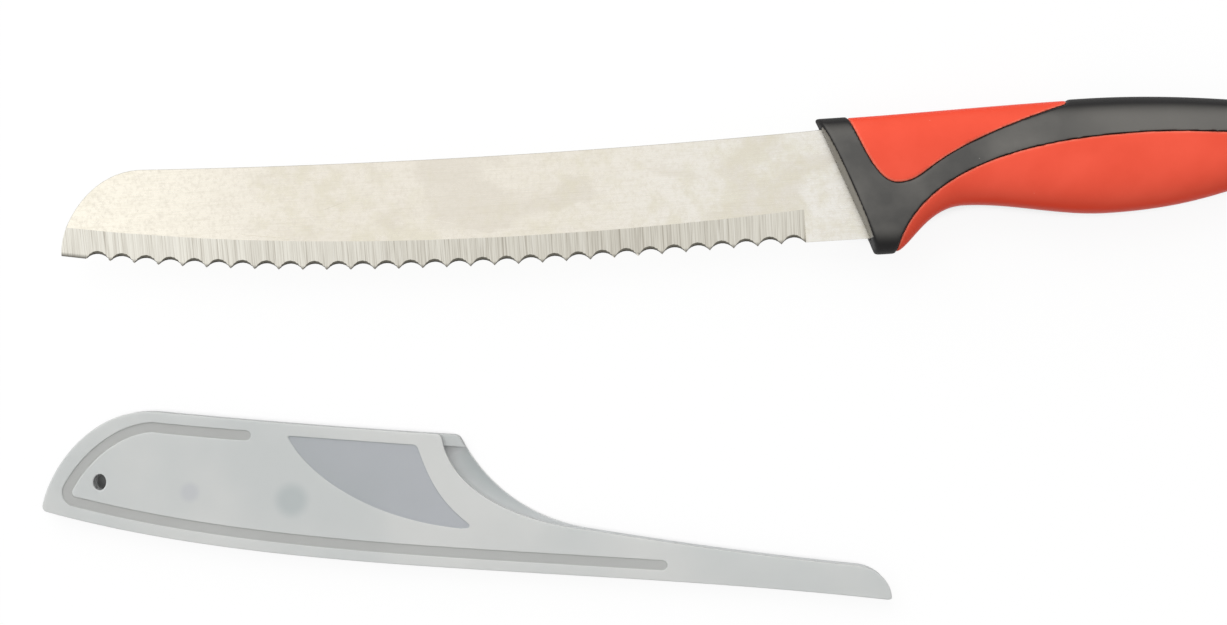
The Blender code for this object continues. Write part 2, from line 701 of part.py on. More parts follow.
def stripe_outline(outline):
    """The groove that follows the outer shape from the spine round the nose and along the edge."""
    inner = side_shifted(outline, -STRIPE_INSET, slant=-STRIPE_SLANT_INSET)
    corner = inner[0]
    start = mouth_corner().x - STRIPE_TO_MOUTH
    stop = ARM_END - STRIPE_TO_ARM_END
    low_end = corner.x + STRIPE_CORNER
    nose_end = corner.y + STRIPE_CORNER
    lower = inner[: 2 * CURVE_STEPS]
    upper = [point for point in inner[2 * CURVE_STEPS :] if point.x < start]
    edge = [point for point in lower if low_end + FIT_GAP < point.x < stop - FIT_GAP]
    nose = [point for point in upper if point.x < start - FIT_GAP and point.y > nose_end + FIT_GAP]
    edge_turn = Vector((low_end, height_at(lower, low_end)))
    nose_turn = Vector((height_at([point.yx for point in upper], nose_end), nose_end))
    turn = bezier(
        nose_turn,
        nose_turn.lerp(corner, ROUND_BULGE),
        edge_turn.lerp(corner, ROUND_BULGE),
        edge_turn,
        CORNER_SEGMENTS,
    )
    spine_end = guard_spine(start) - Vector((0, STRIPE_INSET))
    edge_end = Vector((stop, height_at(lower, stop)))
    run = [spine_end] + nose + turn + edge + [edge_end]
    half = STRIPE_WIDTH / 2
    right, left = (side_shifted(run, side, closed=False) for side in (half, -half))
    ends = []
    for spot, toward in ((run[-1], run[-1] - run[-2]), (run[0], run[0] - run[1])):
        along = toward.normalized()
        across = Vector((along.y, -along.x))
        angles = [pi * step / CORNER_SEGMENTS for step in range(1, CORNER_SEGMENTS)]
        ends.append([spot + half * (across * cos(angle) + along * sin(angle)) for angle in angles])
    return right + ends[0] + left[::-1] + ends[1]


def fin_outline():
    """The fin-shaped panel behind the mouth, its lower tip rounded."""
    mouth = mouth_corner()
    margin = Vector((0, FIN_TOP_MARGIN))
    front = guard_spine(mouth.x - FIN_FRONT_TO_MOUTH) - margin
    rear = guard_spine(mouth.x - FIN_REAR_TO_MOUTH) - margin
    tip = Vector((mouth.x + FIN_TIP_PAST_MOUTH, -FIN_TIP_DROP))
    fall = front - tip
    rise = rear - tip
    lower = bezier(
        front, front - Vector((fall.x / 8, fall.y / 2)), tip + Vector((fall.x / 2, 0)), tip, 2 * CURVE_STEPS
    )
    upper = bezier(tip, tip + Vector((rise.x / 2, rise.y / 4)), rear - Vector((rise.x / 4, rise.y / 2)), rear)
    lower, upper = ([point for point in run if (point - tip).length > FIN_TIP_ROUND] for run in (lower, upper))
    near, far = lower[-1], upper[0]
    turn = bezier(near, near.lerp(tip, ROUND_BULGE), far.lerp(tip, ROUND_BULGE), far, CORNER_SEGMENTS)
    return joined(lower, turn, upper)


def make_guard():
    """The welded walls and rim of the guard, resting on its back."""
    room_low = GUARD_WALL
    room_high = room_low + BLADE_THICKNESS + 2 * GUARD_SIDE_CLEARANCE
    top = room_high + GUARD_WALL
    recess_floor = top - RECESS_DEPTH
    tip = guard_tip()
    outline = guard_outline()
    front_outline = guard_outline(MOUTH_CUT_BACK, MOUTH_CUT_SWEEP)
    back = plate("guard_back", outline, 0, room_low, GUARD_CORNER, "bread_knife")
    rim = plate("guard_rim", outline, room_low, room_high, GUARD_CORNER, "bread_knife")
    front = plate("guard_front", front_outline, room_high, top, GUARD_CORNER, "bread_knife")
    hole_place = tip + HANG_HOLE_FROM_TIP
    hole = rod("hang_hole", hole_place, HANG_HOLE_WIDTH, -CUT_REACH, CUT_REACH, HANG_HOLE_LENGTH)
    room = plate("blade_room", room_outline(), -CUT_REACH, CUT_REACH)
    stripe = plate("stripe", stripe_outline(outline), recess_floor, top + CUT_REACH)
    fin = plate("fin", fin_outline(), recess_floor, top + CUT_REACH, FIN_CORNER)
    pads = [
        rod("pad", tip + place, width, room_high - PAD_HEIGHT, (room_high + recess_floor) / 2)
        for place, width in ((LARGE_PAD_FROM_TIP, LARGE_PAD), (SMALL_PAD_FROM_TIP, SMALL_PAD))
    ]
    combine(back, "DIFFERENCE", hole)
    combine(rim, "DIFFERENCE", room, hole)
    combine(front, "DIFFERENCE", hole, stripe, fin)
    combine(front, "UNION", *pads)
    return [back, rim, front]


# Assembly


def box_of(pieces):
    """The lowest and highest corner of the evaluated pieces, in the world."""
    bpy.context.view_layer.update()
    graph = bpy.context.evaluated_depsgraph_get()
    corners = [
        piece.matrix_world @ Vector(corner)
        for piece in pieces
        for corner in piece.evaluated_get(graph).bound_box
    ]
    return [Vector(limit(axis) for axis in zip(*corners)) for limit in (min, max)]


def carrier(name, pieces, parent=None):
    """An empty that carries the pieces and what cuts them."""
    empty = bpy.data.objects.new(name, None)
    in_collection("bread_knife").objects.link(empty)
    empty.parent = parent
    for piece in pieces:
        piece.parent = empty
        for boolean in piece.modifiers:
            boolean.object.parent = empty
    return empty


def dress(piece, finish):
    """The piece's one material, with smooth shading on its round faces."""
    piece.data.materials.clear()
    piece.data.materials.append(finish)
    piece.data.shade_smooth()
    piece.data.set_sharp_from_angle(angle=SMOOTH_ANGLE)


def main():
    """Builds the knife and its guard and sets them on the table."""
    for leftover in list(bpy.data.objects):
        bpy.data.objects.remove(leftover)
    blade, grip, core = make_blade(), make_soft_grip(), make_handle_core()
    guard_pieces = make_guard()
    steel = material("stainless_steel", "#E8E4D8", 0.3, 1.0)
    dress(blade, steel)
    dress(grip, material("black_soft_rubber", "#4A4A48", 0.6))
    dress(core, material("red_polypropylene", "#F65C48", 0.45))
    frosted = material("frosted_polypropylene", "#CACCCB", 0.5)
    for piece in guard_pieces:
        dress(piece, frosted)
    table = carrier("table_frame", [])
    knife = carrier("knife", [blade, grip, core], table)
    guard = carrier("guard", guard_pieces, table)
    guard.location = (GUARD_AHEAD, -GUARD_ASIDE, 0)
    guard.rotation_euler.z = GUARD_TURN
    knife.location.z = -box_of([blade, grip, core])[0].z
    low, high = box_of([blade, grip, core, *guard_pieces])
    middle = (low + high) / 2
    table.location = (-middle.x, -middle.y, -low.z)


main()
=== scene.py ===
"""Looks of the bread knife and of the slide-on guard that lies beside it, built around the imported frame.

Metres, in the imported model's own frame: +X from the tip to the butt, +Y from the edge to the spine, +Z up.
"""

import logging
from collections.abc import Callable, Sequence
from dataclasses import dataclass
from enum import Enum
from math import cos, pi, radians, sin, tan

import bmesh
import bpy
import numpy as np
from bmesh.types import BMEdge, BMesh, BMVert
from bpy.types import Material, Node, NodeOutputs, NodeSocket, NodeTree, Object
from mathutils import Matrix, Vector
from mathutils.bvhtree import BVHTree
from mathutils.geometry import interpolate_bezier


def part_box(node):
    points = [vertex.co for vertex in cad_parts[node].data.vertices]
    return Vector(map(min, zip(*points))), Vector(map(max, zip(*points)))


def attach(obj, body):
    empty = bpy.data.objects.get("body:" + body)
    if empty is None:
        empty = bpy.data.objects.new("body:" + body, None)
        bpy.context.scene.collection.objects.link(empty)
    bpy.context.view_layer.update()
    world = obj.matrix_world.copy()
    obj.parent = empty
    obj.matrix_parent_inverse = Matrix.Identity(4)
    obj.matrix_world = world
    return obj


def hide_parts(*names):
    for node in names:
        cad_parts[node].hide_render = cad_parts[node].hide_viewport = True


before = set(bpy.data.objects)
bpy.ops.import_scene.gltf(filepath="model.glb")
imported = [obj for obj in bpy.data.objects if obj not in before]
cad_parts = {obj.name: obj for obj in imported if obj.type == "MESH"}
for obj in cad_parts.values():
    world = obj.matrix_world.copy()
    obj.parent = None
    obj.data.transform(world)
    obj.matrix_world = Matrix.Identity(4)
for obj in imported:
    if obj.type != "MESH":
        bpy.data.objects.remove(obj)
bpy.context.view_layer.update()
MM = 0.001
MERGE = 0.002 * MM
FLAT = radians(0.2)
CORNER = radians(60)
GUARD_LAYERS = ("guard_back", "guard_rim", "guard_front")
log = logging.getLogger("bread_knife")


class Slot(Enum):
    """The record's material slots."""

    STEEL = "stainless_steel"
    RED = "red_plastic"
    BLACK = "black_rubber"
    FROSTED = "frosted_plastic"


class Body(Enum):
    """The bodies that pieces ride on."""

    KNIFE = "knife"
    GUARD = "guard"


# Finishes


def linear(code: str) -> tuple[float, float, float, float]:
    """Turns an sRGB hex code into a linear colour.

    Args:
        code: The colour as #RRGGBB.

    Returns:
        Linear red, green and blue, and a full alpha.
    """
    shares = [int(code[i : i + 2], 16) / 255 for i in (1, 3, 5)]
    red, green, blue = (s / 12.92 if s <= 0.04045 else ((s + 0.055) / 1.055) ** 2.4 for s in shares)
    return red, green, blue, 1.0


def feed(tree: NodeTree, node: Node, inputs: dict[str | int, object]) -> None:
    """Sets or links inputs of a node.

    Args:
        tree: The node tree that holds the node.
        node: The node.
        inputs: For each input, by name or number, a value or the output that feeds it.
    """
    for socket, value in inputs.items():
        if isinstance(value, NodeSocket):
            tree.links.new(value, node.inputs[socket])
        else:
            node.inputs[socket].default_value = value


def add(tree: NodeTree, kind: str, inputs: dict[str | int, object], **settings: object) -> NodeOutputs:
    """Adds one shader node with its settings and links.

    Args:
        tree: The node tree that takes the node.
        kind: The node's type, without the ShaderNode that every type starts with.
        inputs: What its inputs take.
        settings: The node's own properties.

    Returns:
        The new node's outputs.
    """
    node = tree.nodes.new("ShaderNode" + kind)
    for name, value in settings.items():
        setattr(node, name, value)
    feed(tree, node, inputs)
    return node.outputs


def overlaid(
    tree: NodeTree,
    under: object,
    over: object,
    value: NodeSocket,
    span: tuple[float, float],
    most: object = 1.0,
    eased: bool = False,
    blend: str = "MIX",
) -> NodeSocket:
    """Lays one colour over another where a value runs through a span.

    Args:
        tree: The material's tree.
        under: The lower colour, or its socket.
        over: The upper colour, or its socket.
        value: What decides how much of the upper one shows.
        span: The value at which none of it shows, and the value at which the most shows.
        most: The largest share, or its socket.
        eased: Whether it sets in softly.
        blend: How the two mix.

    Returns:
        The mixed colour.
    """
    share = add(
        tree,
        "MapRange",
        {"Value": value, "From Min": span[0], "From Max": span[1], "To Max": most},
        interpolation_type="SMOOTHSTEP" if eased else "LINEAR",
    )
    mixed = add(tree, "Mix", {0: share[0], 6: under, 7: over}, data_type="RGBA", blend_type=blend)
    return mixed[2]


@dataclass(frozen=True)
class Finish:
    """A surface that each subclass gives its own pattern."""

    name: str
    code: str
    roughness: float
    metallic: float = 0.0
    specular: float = 0.5

    def material(self) -> Material:
        """Makes the material, plain at first and then with its pattern.

        Returns:
            The finished material.
        """
        made = bpy.data.materials.new(self.name)
        made.use_nodes = True
        tree = made.node_tree
        plain = {
            "Base Color": linear(self.code),
            "Roughness": self.roughness,
            "Metallic": self.metallic,
            "Specular IOR Level": self.specular,
        }
        place = add(tree, "TexCoord", {})["Object"]
        for inputs in (plain, self.pattern(tree, place)):
            feed(tree, tree.nodes["Principled BSDF"], inputs)
        return made

    def pattern(self, tree: NodeTree, place: NodeSocket) -> dict[str, object]:
        """Draws what lies on the plain surface, and says what the shader's inputs take."""
        raise NotImplementedError


@dataclass(frozen=True)
class Scratch:
    """A stray scratch on a polished face."""

    start: Vector
    end: Vector
    width: float
    code: str


@dataclass(frozen=True)
class SatinSteel(Finish):
    """Stainless steel, rolled and satin polished: a warm pale grey with wiped smears, stains and fine scratches."""

    smear: str = "#D9D2C5"
    stain: str = "#D9D3BA"
    hair: str = "#D4CCB8"
    # Painted reflection: the steel is painted paler towards the tip, as if it mirrored brighter light there.
    painted_tip_light: str = "#FFF9EA"
    cool: str = "#EBE8E1"
    tip: float = 0.0
    heel: float = 0.0
    painted_tip_light_run: float = 72 * MM
    cool_run: float = 90 * MM
    smear_size: float = 26 * MM
    smear_turn: float = radians(35)
    smear_stretch: float = 1.7
    stain_size: float = 5 * MM
    stain_field: float = 48 * MM
    grain: float = 0.9 * MM
    # Real polishing scratches are a few hundredths of a millimetre apart, drawn coarser here to show.
    hair_length: float = 9 * MM
    hair_spacing: float = 0.35 * MM
    hair_depth: float = 0.02 * MM
    hair_strength: float = 0.03
    gloss_swing: float = 0.04
    scratches: tuple[Scratch, ...] = ()

    def pattern(self, tree: NodeTree, place: NodeSocket) -> dict[str, object]:
        """Lays a cooler heel, smears, a painted reflection that makes the tip paler, stains and scratches on the
        steel.

        Args:
            tree: The material's tree.
            place: The place on the piece.

        Returns:
            What the shader's inputs take.
        """
        along = add(tree, "SeparateXYZ", {0: place})[0]
        wiped = add(
            tree,
            "Mapping",
            {"Vector": place, "Rotation": (0, 0, self.smear_turn), "Scale": (1, self.smear_stretch, 1)},
        )[0]
        brushed = add(
            tree,
            "Mapping",
            {"Vector": place, "Scale": (1 / self.hair_length, 1 / self.hair_spacing, 1 / self.hair_spacing)},
        )[0]
        cloud, field, fleck, speckle, hair = (
            add(
                tree,
                "TexNoise",
                {"Vector": where, "Scale": 1 / size, "Detail": detail, "Roughness": rough, "Distortion": bend},
            )[0]
            for where, size, detail, rough, bend in (
                (wiped, self.smear_size, 5.0, 0.5, 0.7),
                (place, self.stain_field, 1.0, 0.5, 0.0),
                (place, self.stain_size, 4.0, 0.65, 0.0),
                (place, self.grain, 3.0, 0.7, 0.0),
                (brushed, 1.0, 2.0, 0.5, 0.0),
            )
        )
        stained = add(tree, "Math", {0: field, 1: fleck}, operation="MULTIPLY")[0]
        toned = linear(self.code)
        for code, value, span, most, eased in (
            (self.cool, along, (self.heel - self.cool_run, self.heel), 1.0, True),
            (self.smear, cloud, (0.5, 0.6), 0.5, True),
            # Painted reflection: the tip is painted paler, as if it mirrored brighter light.
            (self.painted_tip_light, along, (self.tip + self.painted_tip_light_run, self.tip), 1.0, True),
            (self.stain, stained, (0.25, 0.38), 0.4, False),
            (self.smear, speckle, (0.45, 0.75), 0.6, False),
            (self.hair, hair, (0.52, 0.72), 0.16, False),
        ):
            toned = overlaid(tree, toned, linear(code), value, span, most, eased)
        for scratch in self.scratches:
            run = scratch.end - scratch.start
            along_it = add(
                tree,
                "Mapping",
                {
                    "Vector": place,
                    "Location": (*scratch.start, 0),
                    "Rotation": (0, 0, run.angle_signed(Vector((1, 0)))),
                    "Scale": (run.length, scratch.width / 2, 1),
                },
                vector_type="TEXTURE",
            )
            parts = add(tree, "SeparateXYZ", {0: along_it[0]})
            middle = add(tree, "Math", {0: parts[0], 1: 0.5, 2: 0.5}, operation="COMPARE")
            away = add(tree, "Math", {0: parts[1]}, operation="ABSOLUTE")
            toned = overlaid(tree, toned, linear(scratch.code), away[0], (1.0, 0.0), middle[0])
        gloss = {"To Min": self.roughness - self.gloss_swing, "To Max": self.roughness + self.gloss_swing}
        rough = add(tree, "MapRange", {"Value": hair, **gloss})[0]
        relief = {"Height": hair, "Strength": self.hair_strength, "Distance": self.hair_depth}
        return {"Base Color": toned, "Roughness": rough, "Normal": add(tree, "Bump", relief)[0]}


@dataclass(frozen=True)
class GroundSteel(Finish):
    """Stainless steel off a grinding belt: fine lines run across the edge, over a tone that dips along it."""

    light: str = "#FFFCF1"
    dark_line: str = "#C8C4BF"
    light_line: str = "#F6F3EA"
    # Painted shade: the tip colour darkens the steel towards the sharp edge.
    tip: str = "#4E4A43"
    low: float = 0.0
    edge_shade_rise: float = 0.2 * MM
    dip: float = 0.0
    dip_run: float = 130 * MM
    # A belt leaves lines about a tenth of a millimetre apart, drawn coarser here to show.
    fine_spacing: float = 0.22 * MM
    deep_spacing: float = 0.42 * MM
    line_length: float = 25 * MM
    line_depth: float = 0.02 * MM
    line_strength: float = 0.1

    def pattern(self, tree: NodeTree, place: NodeSocket) -> dict[str, object]:
        """Draws the tone, the grinding lines and painted shade along the sharp edge and the tips of the teeth.

        Args:
            tree: The material's tree.
            place: The place on the piece.

        Returns:
            What the shader's inputs take.
        """
        along, _, height = add(tree, "SeparateXYZ", {0: place})
        off = add(tree, "Math", {0: along, 1: self.dip}, operation="SUBTRACT")
        away = add(tree, "Math", {0: off[0]}, operation="ABSOLUTE")
        toned = overlaid(tree, linear(self.code), linear(self.light), away[0], (0.0, self.dip_run))
        for spacing, start, code, blend, span, most in (
            (self.fine_spacing, 0.0, self.dark_line, "MULTIPLY", (0.42, 0.7), 0.68),
            (self.deep_spacing, 7.0, self.dark_line, "MULTIPLY", (0.54, 0.68), 0.7),
            (self.deep_spacing, 19.0, self.light_line, "MIX", (0.58, 0.68), 0.6),
        ):
            lines = add(
                tree,
                "Mapping",
                {
                    "Vector": place,
                    "Location": (start, start, start),
                    "Scale": (1 / spacing, 1 / self.line_length, 1 / self.line_length),
                },
            )
            grind = add(tree, "TexNoise", {"Vector": lines[0], "Scale": 1.0, "Detail": 3.0, "Roughness": 0.6})[0]
            toned = overlaid(tree, toned, linear(code), grind, span, most, blend=blend)
        # Painted shade along the sharp edge and the tips of the teeth.
        toned = overlaid(tree, toned, linear(self.tip), height, (self.low + self.edge_shade_rise, self.low))
        relief = {"Height": grind, "Strength": self.line_strength, "Distance": self.line_depth}
        return {"Base Color": toned, "Normal": add(tree, "Bump", relief)[0]}


@dataclass(frozen=True)
class HollowSteel(Finish):
    """Steel in a scallop, cut by a small wheel, with painted shade: pale under the bevel and dark towards the sharp
    edge.
    """

    edge: str = "#2A2722"
    low: float = 0.0
    depth: float = 0.5 * MM

    def pattern(self, tree: NodeTree, place: NodeSocket) -> dict[str, object]:
        """Paints shade into the hollow, darker from its rim to the edge."""
        height = add(tree, "SeparateXYZ", {0: place})[2]
        span = (self.low, self.low + self.depth)
        return {"Base Color": overlaid(tree, linear(self.edge), linear(self.code), height, span)}


@dataclass(frozen=True)
class MouldedSkin(Finish):
    """Moulded plastic or rubber: a fine eroded grain, faint mottling and dust, with painted shade on the sides and
    low down, and a painted highlight along a marked edge.
    """

    mottle: str = "#000000"
    # Painted shade: the side colour is laid where the surface turns away from up, and over everything low down near
    # the toe.
    side: str = "#000000"
    side_shade_turn: tuple[float, float] = (0.42, 0.8)
    shade_floor: float = -1.0
    shade_rise: float = 4.5 * MM
    # Painted highlight: the rim colour is laid along the edge that the attribute rim marks.
    rim: str = "#FFFFFF"
    highlight_share: float = 0.0
    mottle_size: float = 14 * MM
    mottle_run: tuple[float, float] = (0.0, 1.0)
    mottle_end: float = 1.0
    dust: str = "#FFFFFF"
    dust_share: float = 0.2
    dust_spacing: float = 3.5 * MM
    dust_size: float = 0.12 * MM
    # Mould grain is about 0.1 mm, drawn coarser here to show.
    grain: float = 0.35 * MM
    grain_depth: float = 0.03 * MM
    grain_strength: float = 0.25

    def pattern(self, tree: NodeTree, place: NodeSocket) -> dict[str, object]:
        """Lays mottling, painted shade on the sides and low down, dust, a painted highlight along the marked rim and
        grain on the skin.

        Args:
            tree: The material's tree.
            place: The place on the piece.

        Returns:
            What the shader's inputs take.
        """
        cloud, grain = (
            add(tree, "TexNoise", {"Vector": place, "Scale": 1 / size, "Detail": detail})[0]
            for size, detail in ((self.mottle_size, 4.0), (self.grain, 2.0))
        )
        along, height, _ = add(tree, "SeparateXYZ", {0: place})
        # The second share keeps the painted side shade over everything below a given height.
        most, above = (
            add(
                tree,
                "MapRange",
                {"Value": value, "From Min": low, "From Max": high, "To Min": first, "To Max": last},
                interpolation_type="SMOOTHSTEP",
            )[0]
            for value, low, high, first, last in (
                (along, *self.mottle_run, 1.0, self.mottle_end),
                (height, self.shade_floor, self.shade_floor + self.shade_rise, 0.0, 1.0),
            )
        )
        facing = add(tree, "SeparateXYZ", {0: place.node.outputs["Normal"]})[2]
        level = add(tree, "Math", {0: facing}, operation="ABSOLUTE")[0]
        cells = add(tree, "TexVoronoi", {"Vector": place, "Scale": 1 / self.dust_spacing})
        drawn = add(tree, "SeparateColor", {0: cells["Color"]})[0]
        picked = add(tree, "Math", {0: drawn, 1: self.dust_share}, operation="LESS_THAN")[0]
        reach = self.dust_size / self.dust_spacing
        painted_highlight = add(tree, "Attribute", {}, attribute_name="rim")["Fac"]
        toned = overlaid(tree, linear(self.code), linear(self.mottle), cloud, (0.3, 0.65), most)
        # Painted shade on the sides and low down; the upward faces keep the paler colour, as if lit.
        toned = overlaid(tree, linear(self.side), toned, level, self.side_shade_turn, above, eased=True)
        toned = overlaid(tree, toned, linear(self.dust), cells["Distance"], (reach, reach / 2), picked)
        # Painted highlight along the marked edge.
        toned = overlaid(tree, toned, linear(self.rim), painted_highlight, (0.0, 1.0), self.highlight_share)
        relief = {"Height": grain, "Strength": self.grain_strength, "Distance": self.grain_depth}
        return {"Base Color": toned, "Normal": add(tree, "Bump", relief)[0]}


@dataclass(frozen=True)
class Spot:
    """A round pad that shows through a frosted wall as a soft darker disc."""

    centre: Vector
    radius: float
    code: str


@dataclass(frozen=True)
class FrostedSheet(Finish):
    """Polypropylene moulded in a blasted mould: milky, with light that spreads inside it and soft cloudy tones."""

    cloud: str = "#C9CCCB"
    cloud_size: float = 45 * MM
    spots: tuple[Spot, ...] = ()
    spot_edge: tuple[float, float] = (1.3, 0.5)
    spread: float = 0.6
    spread_reach: float = 2.0 * MM
    # Painted light: through is a paler colour laid where the AO node finds a wall close above.
    through: str | None = None
    painted_light_reach: float = 6 * MM
    painted_light_span: tuple[float, float] = (1.0, 0.4)
    # Blasted moulds leave pits of about 0.05 mm, drawn coarser here to show.
    grain: float = 0.3 * MM
    grain_depth: float = 0.02 * MM
    grain_strength: float = 0.1

    def pattern(self, tree: NodeTree, place: NodeSocket) -> dict[str, object]:
        """Lays clouds, soft discs and grain on the sheet.

        Args:
            tree: The material's tree.
            place: The place on the piece.

        Returns:
            What the shader's inputs take.
        """
        noise, grain = (
            add(tree, "TexNoise", {"Vector": place, "Scale": 1 / size, "Detail": detail})[0]
            for size, detail in ((self.cloud_size, 3.0), (self.grain, 1.0))
        )
        toned = overlaid(tree, linear(self.code), linear(self.cloud), noise, (0.35, 0.65), eased=True)
        level = add(tree, "Mapping", {"Vector": place, "Scale": (1, 1, 0)})[0]
        for spot in self.spots:
            away = add(tree, "VectorMath", {0: level, 1: (*spot.centre.xy, 0)}, operation="DISTANCE")
            edge = (spot.radius * self.spot_edge[0], spot.radius * self.spot_edge[1])
            toned = overlaid(tree, toned, linear(spot.code), away["Value"], edge, eased=True)
        if self.through:
            # Painted light: a wall close above still lets light through, so where the AO node finds such cover the
            # colour is painted paler than plain shade.
            cover = add(tree, "AmbientOcclusion", {"Distance": self.painted_light_reach}, samples=32)
            toned = overlaid(tree, toned, linear(self.through), cover["AO"], self.painted_light_span)
        relief = {"Height": grain, "Strength": self.grain_strength, "Distance": self.grain_depth}
        return {
            "Base Color": toned,
            "Normal": add(tree, "Bump", relief)[0],
            "Subsurface Weight": self.spread,
            "Subsurface Radius": (1.0, 1.0, 1.0),
            "Subsurface Scale": self.spread_reach,
        }


# Shared modelling


def enter(piece: Object, finishes: Sequence[Finish], body: Body, node: str) -> None:
    """Dresses a piece and hands it to the frame.

    Args:
        piece: The shaped piece, named for itself.
        finishes: Its finishes, in the order of its faces' material numbers.
        body: The body that it rides on.
        node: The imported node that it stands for.
    """
    for finish in finishes:
        piece.data.materials.append(finish.material())
    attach(piece, body.value)
    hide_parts(node)
    log.info("%s: %d faces on %s", piece.name, len(piece.data.polygons), body.value)


def placed(name: str, shape: BMesh) -> Object:
    """Makes an object of a shape.

    Args:
        name: The object's name.
        shape: The shape, which is used up.

    Returns:
        The new object, in the scene.
    """
    mesh = bpy.data.meshes.new(name)
    shape.to_mesh(mesh)
    shape.free()
    made = bpy.data.objects.new(name, mesh)
    bpy.context.scene.collection.objects.link(made)
    return made


def settled(piece: Object, spent: Sequence[Object] = ()) -> None:
    """Applies the modifiers of a piece.

    Args:
        piece: The piece, which keeps its name.
        spent: The objects that shaped it, which are removed.
    """
    graph = bpy.context.evaluated_depsgraph_get()
    mesh = bpy.data.meshes.new_from_object(piece.evaluated_get(graph))
    rough = piece.data
    piece.modifiers.clear()
    piece.data = mesh
    bpy.data.meshes.remove(rough)
    for tool in spent:
        bpy.data.objects.remove(tool)


def combined(piece: Object, operation: str, *tools: Object) -> None:
    """Cuts a piece with other objects, or joins them to it.

    Args:
        piece: The piece.
        operation: The Boolean modifier's operation.
        tools: The objects, which are used up.
    """
    for tool in tools:
        boolean = piece.modifiers.new(tool.name, "BOOLEAN")
        boolean.operation = operation
        boolean.object = tool
        boolean.solver = "EXACT"
    settled(piece, tools)


def node_copy(node: str) -> BMesh:
    """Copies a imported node's mesh, with its loose triangles merged and its flat faces whole.

    Args:
        node: The node's name.

    Returns:
        The copy.
    """
    shape = bmesh.new()
    shape.from_mesh(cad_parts[node].data)
    bmesh.ops.remove_doubles(shape, verts=shape.verts, dist=MERGE)
    bmesh.ops.dissolve_limit(
        shape, angle_limit=FLAT, use_dissolve_boundaries=False, verts=shape.verts, edges=shape.edges
    )
    return shape


def bevelled(shape: BMesh, offset: float, chosen: Callable[[BMEdge], bool]) -> None:
    """Rounds the chosen edges of a shape.

    Args:
        shape: The shape.
        offset: How far the round reaches from the edge.
        chosen: Says whether an edge is rounded.
    """
    bmesh.ops.bevel(
        shape,
        geom=[edge for edge in shape.edges if len(edge.link_faces) == 2 and chosen(edge)],
        offset=offset,
        affect="EDGES",
        segments=3,
        profile=0.5,
        material=-1,
        clamp_overlap=False,
    )


def curve(*corners: Sequence[float], steps: int = 60) -> list[Vector]:
    """Points along one cubic curve: its start, the start's handle, the end's handle and its end are given."""
    deep = [Vector((corner[0], corner[1], 0)) for corner in corners]
    return [point.to_2d() for point in interpolate_bezier(*deep, steps + 1)]


def level_curve(
    start: Sequence[float], end: Sequence[float], start_curl: float = 1 / 3, end_curl: float = 1 / 3
) -> list[Vector]:
    """A curve that leaves and arrives level; a curl is the share of the run that stays nearly level."""
    run = end[0] - start[0]
    return curve(start, (start[0] + run * start_curl, start[1]), (end[0] - run * end_curl, end[1]), end)


def height_at(line: Sequence[Vector], place: float) -> float:
    """The height at one x of a line whose points are in the order of x, level past its ends."""
    return float(np.interp(place, [point[0] for point in line], [point[1] for point in line]))


def shifted(outline: Sequence[Vector], distance: float) -> list[Vector]:
    """A closed outline with its points moved outwards.

    Args:
        outline: The outline, anticlockwise.
        distance: How far.

    Returns:
        The moved points.
    """
    moved = []
    for i, point in enumerate(outline):
        normals = []
        for start, end in ((outline[i - 1], point), (point, outline[(i + 1) % len(outline)])):
            along = (end - start).normalized()
            normals.append(Vector((along.y, -along.x)))
        middle = (normals[0] + normals[1]).normalized()
        moved.append(point + middle * distance / max(0.5, middle.dot(normals[0])))
    return moved


# Blade


